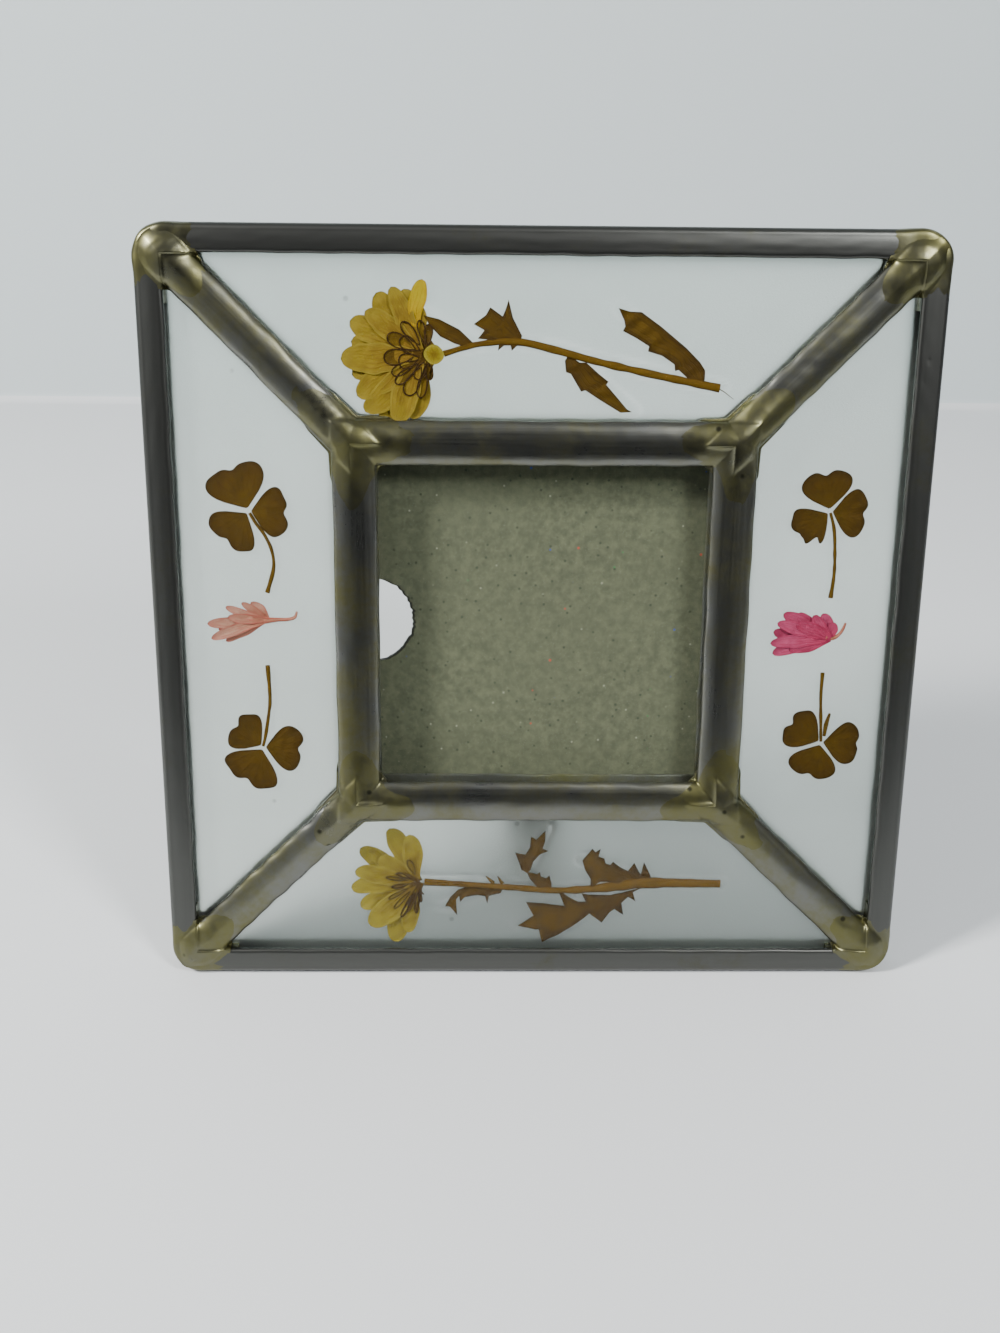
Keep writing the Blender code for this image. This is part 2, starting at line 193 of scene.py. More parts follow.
def piece(name, shells, material, replaces=(), sharp=50, in_layout=True):
    """One finished object: its shells joined in one mesh, standing, facing out, riding on the frame's only
    body."""
    points = np.concatenate([shell[0] for shell in shells])
    starts = np.cumsum([0] + [len(shell[0]) for shell in shells[:-1]])
    faces = []
    for start, shell in zip(starts, shells):
        for block in shell[1]:
            faces.extend((block + start).tolist())
    mesh = bpy.data.meshes.new(name)
    place = stand(points) if in_layout else points * 0.001
    mesh.from_pydata(place.tolist(), [], faces)
    uv = np.concatenate([shell[2] for shell in shells])
    corners = np.zeros(len(mesh.loops), np.int32)
    mesh.loops.foreach_get("vertex_index", corners)
    mesh.uv_layers.new(name="surface").data.foreach_set("uv", uv[corners].astype(np.float32).reshape(-1))
    for mark in shells[0][3]:
        values = np.concatenate([shell[3][mark] for shell in shells]).astype(np.float32)
        mesh.attributes.new(mark, "FLOAT", "POINT").data.foreach_set("value", values)
    merged = bmesh.new()
    merged.from_mesh(mesh)
    bmesh.ops.remove_doubles(merged, verts=merged.verts, dist=1e-7)
    bmesh.ops.recalc_face_normals(merged, faces=merged.faces)
    merged.to_mesh(mesh)
    merged.free()
    mesh.polygons.foreach_set("use_smooth", [True] * len(mesh.polygons))
    mesh.set_sharp_from_angle(angle=radians(sharp))
    mesh.materials.append(material)
    made = bpy.data.objects.new(name, mesh)
    bpy.context.scene.collection.objects.link(made)
    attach(made, "root")
    if replaces:
        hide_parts(*replaces)
    return made


# ---- materials


def new_group(name, inputs, outputs):
    """An empty shader node group with its sockets: inputs are (name, kind, default), outputs are (name,
    kind)."""
    tree = bpy.data.node_groups.new(name, "ShaderNodeTree")
    for label, kind, default in inputs:
        socket = tree.interface.new_socket(label, in_out="INPUT", socket_type=kind)
        if default is not None:
            socket.default_value = default
    for label, kind in outputs:
        tree.interface.new_socket(label, in_out="OUTPUT", socket_type=kind)
    return tree, tree.nodes.new("NodeGroupInput"), tree.nodes.new("NodeGroupOutput")


class Wires:
    """Short words for adding and linking nodes in one tree."""

    def __init__(self, tree):
        self.tree = tree

    def add(self, kind, settings=None, **links):
        node = self.tree.nodes.new(kind)
        for key, value in (settings or {}).items():
            setattr(node, key, value)
        for key, value in links.items():
            self.set(node.inputs[int(key[1:]) if key[0] == "i" and key[1:].isdigit()
                else key.replace("_", " ")], value)
        return node

    def set(self, socket, value):
        if hasattr(value, "is_output"):
            self.tree.links.new(value, socket)
        else:
            socket.default_value = value

    def math(self, how, a, b=0.0, c=None, clamp=False):
        node = self.add("ShaderNodeMath", {"operation": how, "use_clamp": clamp}, i0=a, i1=b)
        if c is not None:
            self.set(node.inputs[2], c)
        return node.outputs[0]

    def between(self, value, low, high):
        node = self.add("ShaderNodeMapRange", {"interpolation_type": "SMOOTHSTEP"}, Value=value)
        node.inputs["From Min"].default_value = low
        node.inputs["From Max"].default_value = high
        return node.outputs[0]

    def mix(self, share, a, b, how="MIX"):
        node = self.add("ShaderNodeMix", {"data_type": "RGBA", "blend_type": how})
        self.set(node.inputs[0], share)
        self.set(node.inputs[6], a)
        self.set(node.inputs[7], b)
        return node.outputs[2]

    def noise(self, vector, scale, detail=3.0, rough=0.5, dims="3D"):
        node = self.add("ShaderNodeTexNoise", {"noise_dimensions": dims}, Vector=vector)
        node.inputs["Scale"].default_value = scale
        node.inputs["Detail"].default_value = detail
        node.inputs["Roughness"].default_value = rough
        return node.outputs[0]

    def group(self, tree, **values):
        node = self.add("ShaderNodeGroup", {"node_tree": tree})
        for key, value in values.items():
            self.set(node.inputs[key], value)
        return node.outputs


def brushing_group():
    """Fine scratches along a bar: noise stretched along the first UV axis."""
    tree, given, out = new_group(
        "lengthwise_brushing",
        [("UV", "NodeSocketVector", None), ("Fineness", "NodeSocketFloat", 1.0)],
        [("Height", "NodeSocketFloat"), ("Streak", "NodeSocketFloat")],
    )
    w = Wires(tree)
    stretched = w.add("ShaderNodeVectorMath", {"operation": "MULTIPLY"}, i0=given.outputs[0],
        i1=(0.05, 4.0, 1.0)).outputs[0]
    scaled = w.add("ShaderNodeVectorMath", {"operation": "SCALE"}, i0=stretched)
    w.set(scaled.inputs["Scale"], given.outputs[1])
    fine = w.noise(scaled.outputs[0], 2.6, 4.0, 0.65, "2D")
    broad = w.noise(scaled.outputs[0], 0.7, 2.0, 0.5, "2D")
    w.set(out.inputs[0], fine)
    w.set(out.inputs[1], w.between(broad, 0.38, 0.66))
    return tree


def patina_group():
    """Blotches of an old finish over bare metal: two scales of noise, cut off softly by the amount."""
    tree, given, out = new_group(
        "patina",
        [
            ("Vector", "NodeSocketVector", None),
            ("Amount", "NodeSocketFloat", 0.5),
            ("Metal", "NodeSocketColor", (0.2, 0.2, 0.2, 1)),
            ("Patina", "NodeSocketColor", (0.1, 0.09, 0.04, 1)),
        ],
        [("Color", "NodeSocketColor"), ("Mask", "NodeSocketFloat")],
    )
    w = Wires(tree)
    wide = w.noise(given.outputs[0], 90.0, 3.0, 0.55)
    fine = w.noise(given.outputs[0], 900.0, 3.0, 0.6)
    both = w.math("ADD", w.math("MULTIPLY", wide, 0.75), w.math("MULTIPLY", fine, 0.25))
    shifted = w.math("ADD", both, w.math("SUBTRACT", given.outputs[1], 0.5))
    mask = w.between(shifted, 0.30, 0.72)
    w.set(out.inputs[0], w.mix(mask, given.outputs[2], given.outputs[3]))
    w.set(out.inputs[1], mask)
    return tree


def vein_group():
    """Veins of a dried petal or leaf: fine lines along it, wandering a little, fading out toward its tip."""
    tree, given, out = new_group(
        "dried_veins",
        [("UV", "NodeSocketVector", None), ("Count", "NodeSocketFloat", 9.0)],
        [("Line", "NodeSocketFloat"), ("Mottle", "NodeSocketFloat")],
    )
    w = Wires(tree)
    parts = w.add("ShaderNodeSeparateXYZ", i0=given.outputs[0])
    drift = w.noise(given.outputs[0], 3.0, 2.0, 0.5)
    across = w.math("ADD", w.math("MULTIPLY", parts.outputs[1], given.outputs[1]),
        w.math("MULTIPLY", drift, 1.4))
    wave = w.math("SINE", w.math("MULTIPLY", across, tau))
    line = w.between(wave, 0.55, 1.0)
    fade = w.between(parts.outputs[0], 1.1, 0.3)
    w.set(out.inputs[0], w.math("MULTIPLY", line, fade))
    w.set(out.inputs[1], w.noise(given.outputs[0], 7.0, 5.0, 0.65))
    return tree


def new_material(name, **settings):
    """A material with its Principled shader, whose plain values are set on the shader's own sockets."""
    made = bpy.data.materials.new(name)
    made.use_nodes = True
    shader = made.node_tree.nodes["Principled BSDF"]
    for key, value in settings.items():
        shader.inputs[key.replace("_", " ")].default_value = value
    return made, Wires(made.node_tree), shader


def object_place(w):
    return w.add("ShaderNodeTexCoord").outputs["Object"]


def surface_place(w):
    return w.add("ShaderNodeUVMap", {"uv_map": "surface"}).outputs[0]


def mark(w, name):
    return w.add("ShaderNodeAttribute", {"attribute_name": name}).outputs["Fac"]


def bump(w, shader, height, strength, distance):
    node = w.add("ShaderNodeBump")
    node.inputs["Strength"].default_value = strength
    node.inputs["Distance"].default_value = distance
    w.set(node.inputs["Height"], height)
    w.set(shader.inputs["Normal"], node.outputs[0])


def lead_material(look, groups):
    made, w, shader = new_material("dark_lead", Metallic=1.0)
    place, along = object_place(w), surface_place(w)
    coat = w.group(groups["patina"], Vector=place, Amount=look.patina, Metal=(*look.lead, 1),
        Patina=(*look.olive, 1))
    brush = w.group(groups["brushing"], UV=along, Fineness=1.0)
    streaked = w.mix(w.math("MULTIPLY", brush[1], 0.05), coat[0], (0.17, 0.17, 0.15, 1))
    w.set(shader.inputs["Base Color"], streaked)
    rough = w.math("ADD", look.satin, w.math("MULTIPLY", coat[1], 0.10))
    w.set(shader.inputs["Roughness"], w.math("SUBTRACT", rough, w.math("MULTIPLY", brush[1], 0.03)))
    dents = w.noise(place, 260.0, 2.0, 0.5)
    height = w.math("ADD", w.math("MULTIPLY", brush[0], 0.04), w.math("MULTIPLY", dents, 0.4))
    bump(w, shader, height, 0.16, 0.0002)
    return made


def channel_material(look, groups):
    made, w, shader = new_material("dark_channel", Metallic=1.0)
    place, along = object_place(w), surface_place(w)
    coat = w.group(
        groups["patina"], Vector=place, Amount=look.patina * 0.6, Metal=(*[c * 0.60 for c in look.lead], 1),
        Patina=(*[c * 0.56 for c in look.olive], 1),
    )
    brush = w.group(groups["brushing"], UV=along, Fineness=1.3)
    w.set(shader.inputs["Base Color"],
        w.mix(w.math("MULTIPLY", brush[1], 0.05), coat[0], (0.12, 0.12, 0.11, 1)))
    w.set(shader.inputs["Roughness"], w.math("ADD", look.satin + 0.06, w.math("MULTIPLY", coat[1], 0.1)))
    height = w.math("ADD", w.math("MULTIPLY", brush[0], 0.05), w.math("MULTIPLY", w.noise(place, 330.0), 0.4))
    bump(w, shader, height, 0.18, 0.0002)
    return made


def solder_material(look, groups):
    made, w, shader = new_material("patina_solder", Metallic=1.0)
    place = object_place(w)
    coat = w.group(groups["patina"], Vector=place, Amount=0.56, Metal=(*look.solder, 1),
        Patina=(*look.olive, 1))
    pits = w.add("ShaderNodeTexVoronoi", i0=place)
    pits.inputs["Scale"].default_value = 190.0
    pit = w.between(pits.outputs[0], 0.13, 0.06)
    w.set(shader.inputs["Base Color"], w.mix(w.math("MULTIPLY", pit, 0.8), coat[0], (0.02, 0.02, 0.015, 1)))
    w.set(shader.inputs["Roughness"], w.math("ADD", 0.24, w.math("MULTIPLY", coat[1], 0.16)))
    lumps = w.math("SUBTRACT", w.noise(place, 300.0, 2.0, 0.5), w.math("MULTIPLY", pit, 0.3))
    bump(w, shader, lumps, 0.22, 0.0003)
    return made


def strip_material(look, groups):
    made, w, shader = new_material("leg_strip", Metallic=1.0)
    coat = w.group(
        groups["patina"], Vector=object_place(w), Amount=0.42, Metal=(0.36, 0.32, 0.25, 1),
        Patina=(*look.olive, 1)
    )
    brush = w.group(groups["brushing"], UV=surface_place(w), Fineness=0.8)
    w.set(shader.inputs["Base Color"], coat[0])
    w.set(shader.inputs["Roughness"], w.math("ADD", 0.34, w.math("MULTIPLY", coat[1], 0.14)))
    bump(w, shader, brush[0], 0.25, 0.0002)
    return made


def let_lamps_through(made, w, shader, tint):
    """Rays toward the lamps, and those that gather soft light, pass the glass by a Transparent shader with the
    tint, so
    that what lies behind it is lit evenly, and in a clean shadow where the tint is dark."""
    out = made.node_tree.nodes["Material Output"]
    path = w.add("ShaderNodeLightPath")
    clear = w.add("ShaderNodeBsdfTransparent")
    clear.inputs[0].default_value = tint
    choose = w.add("ShaderNodeMixShader")
    gathered = w.math("MAXIMUM", path.outputs["Is Shadow Ray"], path.outputs["Is Diffuse Ray"])
    w.set(choose.inputs[0], gathered)
    w.set(choose.inputs[1], shader.outputs[0])
    w.set(choose.inputs[2], clear.outputs[0])
    w.set(out.inputs["Surface"], choose.outputs[0])


def clear_glass_material():
    made, w, shader = new_material("clear_glass", Roughness=0.02, IOR=1.45, Metallic=0.0)
    shader.inputs["Transmission Weight"].default_value = 1.0
    shader.inputs["Specular IOR Level"].default_value = 0.2
    shader.inputs["Specular Tint"].default_value = (0.25, 0.25, 0.25, 1)
    shader.inputs["Base Color"].default_value = (0.97, 0.99, 0.975, 1)
    let_lamps_through(made, w, shader, (0.93, 0.95, 0.94, 1))
    return made


def frosted_material(look):
    made, w, shader = new_material("frosted_glass", IOR=1.45, Metallic=0.0)
    shader.inputs["Transmission Weight"].default_value = look.sheerness
    place = object_place(w)
    cloud = w.noise(place, 60.0, 4.0, 0.6)
    grain = w.noise(place, 2600.0, 2.0, 0.6)
    pale = w.mix(w.math("MULTIPLY", w.between(cloud, 0.35, 0.7), 0.45), (*look.haze, 1),
        (*[c * 0.90 for c in look.haze], 1))
    lifted = w.mix(w.math("MULTIPLY", mark(w, "lift"), 0.9), pale, (0.97, 0.99, 0.97, 1))
    specks = w.add("ShaderNodeTexVoronoi", i0=place)
    specks.inputs["Scale"].default_value = 95.0
    dust = w.between(specks.outputs[0], 0.060, 0.025)
    # Painted shade: by the edge mark the sheet darkens toward a dark grey-green along the cames that hold it.
    shaded_at_cames = w.mix(w.math("MULTIPLY", mark(w, "edge"), 0.5), lifted, (0.30, 0.33, 0.30, 1))
    w.set(shader.inputs["Base Color"], w.mix(w.math("MULTIPLY", dust, 0.5), shaded_at_cames, (0.10, 0.11, 0.09, 1)))
    w.set(shader.inputs["Roughness"], w.math("ADD", look.frost, w.math("MULTIPLY", grain, 0.08)))
    bump(w, shader, w.math("ADD", w.math("MULTIPLY", mark(w, "lift"), 1.0), w.math("MULTIPLY", grain, 0.25)),
        0.3, 0.0004)
    let_lamps_through(made, w, shader, (0.07, 0.078, 0.075, 1))
    return made


def board_material(look):
    made, w, shader = new_material("grey_chipboard", Roughness=0.92)
    place = object_place(w)
    pulp = w.noise(place, 700.0, 5.0, 0.7)
    blotch = w.noise(place, 90.0, 3.0, 0.5)
    base = (*look.board, 1)
    light = (*[min(1, c * 1.28) for c in look.board], 1)
    dark = (*[c * 0.72 for c in look.board], 1)
    color = w.mix(w.between(pulp, 0.30, 0.72), dark, light)
    color = w.mix(w.math("MULTIPLY", w.between(blotch, 0.3, 0.7), 0.35), color, base)
    for scale, cut_off, tint in (
        (520.0, 0.15, (0.030, 0.035, 0.020, 1)), (340.0, 0.075, (0.26, 0.26, 0.19, 1)),
        (170.0, 0.05, (0.42, 0.05, 0.03, 1)),
        (190.0, 0.045, (0.04, 0.16, 0.05, 1)), (150.0, 0.04, (0.03, 0.06, 0.30, 1)),
    ):
        flecks = w.add("ShaderNodeTexVoronoi",
            i0=w.add("ShaderNodeVectorMath", i0=place, i1=(scale * 0.01, 0, 0)).outputs[0])
        flecks.inputs["Scale"].default_value = scale
        color = w.mix(w.math("MULTIPLY", w.between(flecks.outputs[0], cut_off, cut_off * 0.5), 0.85), color,
            tint)
    color = w.mix(w.between(mark(w, "edge"), 0.15, 0.6), color, (0.012, 0.012, 0.008, 1))
    w.set(shader.inputs["Base Color"], color)
    bump(w, shader, pulp, 0.4, 0.0003)
    return made


def plant_material(name, groups, base, tip, vein, count, vein_share=0.5, edge_share=0.6, rim=None):
    """Dried petal or leaf: base to tip colours, veins, a darker or paler rim and blotches."""
    made, w, shader = new_material(name, Roughness=0.75)
    shader.inputs["Specular IOR Level"].default_value = 0.12
    along = surface_place(w)
    veins = w.group(groups["veins"], UV=along, Count=count)
    length = w.add("ShaderNodeSeparateXYZ", i0=along).outputs[0]
    body = w.mix(w.between(length, 0.05, 0.8), (*base, 1), (*tip, 1))
    toned = w.mix(mark(w, "tone"), body, (*[c * 0.72 for c in base], 1))
    mottled = w.mix(w.math("MULTIPLY", w.between(veins[1], 0.42, 0.75), 0.45), toned, (*vein, 1))
    lined = w.mix(w.math("MULTIPLY", veins[0], vein_share), mottled, (*vein, 1))
    w.set(shader.inputs["Base Color"],
        w.mix(w.math("MULTIPLY", mark(w, "rim"), edge_share), lined, (*(rim or vein), 1)))
    bump(w, shader, w.math("ADD", veins[0], veins[1]), 0.3, 0.0002)
    return made


MADE = {}


def shared(look):
    """Node groups and materials, built once."""
    if MADE:
        return MADE
    groups = {"brushing": brushing_group(), "patina": patina_group(), "veins": vein_group()}
    MADE.update(
        lead=lead_material(look, groups), channel=channel_material(look, groups),
        solder=solder_material(look, groups),
        strip=strip_material(look, groups), clear=clear_glass_material(), frosted=frosted_material(look),
        board=board_material(look),
        gold=plant_material(
            "gold_petals", groups, (0.145, 0.078, 0.0055), (0.195, 0.130, 0.010), (0.090, 0.040, 0.002), 7.0,
            0.35, 0.45,
            (0.26, 0.20, 0.025),
        ),
        bright=plant_material(
            "bright_petal", groups, (0.28, 0.17, 0.004), (0.34, 0.25, 0.006), (0.24, 0.12, 0.003), 4.0, 0.3,
            0.4,
        ),
        pale=plant_material(
            "pale_petals", groups, (0.120, 0.072, 0.002), (0.205, 0.155, 0.010), (0.080, 0.040, 0.001), 7.0,
            0.35, 0.5,
            (0.27, 0.22, 0.03),
        ),
        pink=plant_material("pink_petals", groups, (0.34, 0.14, 0.085), (0.38, 0.21, 0.15),
            (0.30, 0.035, 0.035), 5.0, 0.7, 0.6),
        magenta=plant_material(
            "magenta_petals", groups, (0.36, 0.035, 0.085), (0.40, 0.060, 0.130), (0.25, 0.008, 0.040), 5.0,
            0.7, 0.5,
        ),
        bract=plant_material("dried_bract", groups, (0.0566, 0.0276, 0.0005), (0.1034, 0.0594, 0.00084),
            (0.0326, 0.0138, 0.00025), 3.0, 0.4, 0.4),
        disc=plant_material("dried_disc", groups, (0.0326, 0.0138, 0.00042), (0.0435, 0.0191, 0.0005),
            (0.01306, 0.00424, 0.00025), 3.0, 0.4, 1.0),
        stem=plant_material("dried_stem", groups, (0.1044, 0.0552, 0.00168), (0.0925, 0.0467, 0.00126),
            (0.0326, 0.01273, 0.00042), 3.0, 0.7, 0.9),
        leaf=plant_material("dried_leaf", groups, (0.049, 0.0233, 0.00034), (0.0653, 0.0329, 0.00042),
            (0.0152, 0.00636, 0.00017), 5.0, 0.5, 0.85),
        clover=plant_material("dried_clover", groups, (0.064, 0.033, 0.0003), (0.052, 0.025, 0.0002),
            (0.0112, 0.00468, 7e-05), 9.0, 0.3, 0.7),
    )
    return MADE


# ---- surfaces of the lead, as heights over the layout, shared by the cames and the solder that lies on them


def dome(across, half, edge, crown):
    """Half-round flange: edge height plus crown times the square root of one minus (across / half) squared;
    beyond it
    the height falls three for one."""
    inside = np.clip(1 - (across / half) ** 2, 0, 1)
    return edge + crown * np.sqrt(inside) - 3 * np.maximum(np.abs(across) - half, 0)


def lead_heights(u, v, face):
    """Heights over each layout point of the things that solder lies on, toward the front (face 1) or the back
    (face -1):
    the glass, then the three leads, each falling away three for one beyond its own ground."""
    reach = np.maximum(np.abs(u), np.abs(v))
    panel = face * mid(u, v) + BED + PANE
    hip = np.abs(np.abs(u) - np.abs(v)) / np.sqrt(2)
    diagonal = face * mid(u, v) + dome(hip, DIAGONAL, 2.05, 1.22) - 3 * np.maximum(CAME_RUN - reach, 0)
    shifted = np.maximum(np.abs(u - WINDOW_SHIFT), np.abs(v))
    came = face * CAME_MID + dome(shifted - CAME_RUN, CAME, 2.2, 1.2)
    window = 4.1 if face > 0 else 1.3
    glass = panel + (window - panel) * smooth(CAME_RUN - shifted, -1.2, 1.2)
    channel = face * mid(u, v) + 2.98 - 3 * np.maximum(HALF - LIP - reach, 0)
    return [glass, diagonal, came, channel]


def ring_of(count):
    return np.linspace(0, tau, count, endpoint=False)


def solder_lens(centre, radius, face, thick, seed, lumps=0.05, fillet=0.45, over=0.6, rings=44, around=160):
    """A pool of solder: over each point of a rounded outline, the leads below with their creases filled, plus a
    thickness
    that falls as one minus the distance squared, squared, plus low lumps. Its rim stops just past the edge of the lead.
    Its underside lies a millimetre lower."""
    angle = ring_of(around)
    trial = np.linspace(0.5, 12, 231)[:, None]
    glass, *leads = lead_heights(centre[0] + trial * np.cos(angle), centre[1] + trial * np.sin(angle), face)
    bare_glass = np.max(np.stack(np.broadcast_arrays(*leads)), 0) < glass
    edge = np.where(bare_glass.any(0), trial[bare_glass.argmax(0), 0], 12.0) + over
    wide = np.minimum(radius(angle), edge)
    wide = sum(np.roll(wide, step) * share
        for step, share in ((-2, 0.1), (-1, 0.25), (0, 0.3), (1, 0.25), (2, 0.1)))
    share = np.linspace(0, 1, rings + 1)[1:, None]
    u = centre[0] + share * wide * np.cos(angle)
    v = centre[1] + share * wide * np.sin(angle)
    heights = lead_heights(u, v, face)
    bare = np.max(np.stack(np.broadcast_arrays(*heights)), 0)
    filled = smoothest_of(heights, fillet)
    soft = smooth(1 - share, 0.0, 0.45)
    lead = smooth(np.max(np.stack(np.broadcast_arrays(*heights[1:])), 0) - heights[0], -0.3, 1.0)
    body = bare + (filled - bare) * soft + thick * (1 - share ** 2) ** 2 * lead
    top = body + lumps * soft * (waves(u, v, seed, 6.0) + 0.15 * waves(u, v, seed + 7, 2.0)) - 0.02
    under = np.minimum(top - 0.8, bare - 0.6)
    flat = np.stack([u, v], -1)
    return disc_shell(
        np.stack([u, v, face * top], -1), np.stack([u, v, face * under], -1), flat, {},
    )


def lobed(size, lobes, seed, rough=0.05):
    """Outline of a pool: a radius for each heading, swollen toward given headings, with a little unevenness."""
    chance = np.random.default_rng(seed)
    phase = chance.uniform(0, tau, 4)

    def radius(angle):
        total = np.full(np.shape(angle), 1.0)
        for heading, swell, width in lobes:
            total = total + swell * np.exp((np.cos(angle - heading) - 1) / width)
        for wave, turn in zip((3, 4, 6, 9), phase):
            total = total + rough * np.sin(wave * angle + turn) / np.sqrt(wave)
        return size * total

    return radius


# ---- cames


def channel_outline():
    """The outer channel's section: distance in from the outer edge, and height, going once around its metal."""
    face_in = np.array([[LIP, 2.10], [LIP, 2.45], [4.50, 2.72], [4.25, 2.90], [3.9, 2.98]])
    crown = np.linspace(3.5, 1.1, 11)
    face = np.stack([crown, 3.0 + 0.06 * np.sin(pi * (crown - 1.1) / 2.4)], -1)
    turn = np.linspace(pi / 2, pi, 8)
    corner = np.stack([0.95 + 0.95 * np.cos(turn), 2.05 + 0.95 * np.sin(turn)], -1)
    web = np.stack([np.zeros(4), np.linspace(1.4, 0.35, 4)], -1)
    half = np.concatenate([np.array([[1.5, 0.35], [1.5, 1.70], [3.0, 1.78], [4.3, 1.86]]), face_in, face,
        corner, web])
    return np.concatenate([half, half[::-1] * (1, -1)])


def outer_channel_shell(quarter, seed):
    """The channel's section carried along one side and half way around both rounded corners."""
    outline = channel_outline()
    straight = HALF - CORNER
    bend = np.linspace(0, pi / 4, 14)[1:]
    run = np.linspace(-straight, straight, 260)
    # Each station is the turn of the section and the centre it turns about.
    turn = np.concatenate([bend[::-1], np.zeros(len(run)), -bend])
    about = np.concatenate([np.full(len(bend), -straight), run, np.full(len(bend), straight)])
    length = np.concatenate([-straight - CORNER * bend[::-1], run, straight + CORNER * bend])
    depth, height = outline[None, :, 0], outline[None, :, 1]
    along = length[:, None]
    face_share = smooth(np.abs(height), 2.0, 2.9)
    swell = 0.02 * waves(along, depth * 3, seed, 30.0) + 0.006 * waves(along, depth * 5, seed + 3, 7.0)
    nick = 0.05 * smooth(waves(along, depth * 1.4, seed + 9, 2.2, 7), 1.5, 2.4) * (depth > 2.5)
    height = height + np.sign(height) * face_share * (swell - nick)
    depth = depth + 0.05 * waves(along, height, seed + 5, 9.0) * smooth(depth, 3.4, 4.4)
    radius = CORNER - depth
    across = about[:, None] - radius * np.sin(turn[:, None])
    outward = straight + radius * np.cos(turn[:, None])
    u, v = turned(across, outward, quarter)
    w = depth * SLOPE + height
    around = np.cumsum(np.hypot(*np.diff(outline, axis=0, prepend=outline[:1]).T))
    uv = np.stack(np.broadcast_arrays(along, around[None, :]), -1)
    return tube_shell(np.stack([u, v, w], -1), uv)


def came_outline(half, edge, crown, foot, web=0.7, arc=26):
    """Section of an H came: a domed flange in front and behind, joined by a web; across and height around its
    metal."""
    swing = np.linspace(0, pi, arc)
    top = np.stack([half * np.cos(swing), edge + crown * np.sin(swing)], -1)
    lip = np.array([[half - 0.25, foot], [half - 0.05, foot + 0.10]])
    under = np.array([[web, 0.4], [web, foot - 0.1], [web + 0.4, foot]])
    front = np.concatenate([under, lip, top, lip[::-1] * (-1, 1), under[::-1] * (-1, 1)])
    return np.concatenate([front, front[::-1] * (1, -1)])


def came_marks(outline):
    around = np.cumsum(np.hypot(*np.diff(outline, axis=0, prepend=outline[:1]).T))
    return around


def window_came_shell(quarter, seed):
    """One side of the window: the H section carried straight, each end cut to the mitre by sliding the section
    along."""
    outline = came_outline(CAME, 2.2, 1.2, 1.95)
    offset, height = outline[None, :, 0], outline[None, :, 1]
    station = np.linspace(-1, 1, 220)[:, None]
    side = CAME_RUN + offset
    across = station * side
    front = smooth(np.abs(height), 2.1, 2.7)
    swell = 0.035 * waves(across, offset * 2, seed, 16.0) + 0.008 * waves(across, offset * 2, seed + 4, 5.0)
    bite = 0.015 * smooth(waves(across * 1.6, offset * 0.6, seed + 11, 1.7, 7), 1.2, 2.3)
    height = height + np.sign(height) * front * (swell - bite)
    side = side + 0.07 * waves(across, height, seed + 2, 8.0) * smooth(np.abs(offset), 2.6, 3.4)
    u, v = turned(across, side, quarter)
    uv = np.stack(np.broadcast_arrays(across, came_marks(outline)[None, :]), -1)
    return tube_shell(np.stack([u + WINDOW_SHIFT, v, CAME_MID + height], -1), uv)


def diagonal_shell(quarter, seed):
    """The H section carried down a hip, from a corner of the frame to a corner of the window; its flanges
    follow the panels."""
    outline = came_outline(DIAGONAL, 2.05, 1.22, 1.72)
    offset, height = outline[None, :, 0], outline[None, :, 1]
    reach = np.linspace(HIP_OUT, HIP_IN, 130)[:, None]
    along = reach * np.sqrt(2)
    front = smooth(np.abs(height), 1.9, 2.5)
    swell = 0.035 * waves(along, offset * 2, seed, 14.0) + 0.008 * waves(along, offset * 2, seed + 4, 4.5)
    groove = 0.03 * smooth(waves(along * 0.12, offset * 1.6, seed + 8, 1.1, 6), 1.5, 2.3)
    height = height + np.sign(height) * front * (swell - groove)
    offset = offset + 0.07 * waves(along, height, seed + 2, 7.0) * smooth(np.abs(offset), 2.3, 3.1)
    u = reach + offset / np.sqrt(2)
    v = reach - offset / np.sqrt(2)
    w = mid(u, v) + height
    u, v = turned(u, v, quarter)
    uv = np.stack(np.broadcast_arrays(along, came_marks(outline)[None, :]), -1)
    return tube_shell(np.stack([u, v, w], -1), uv)


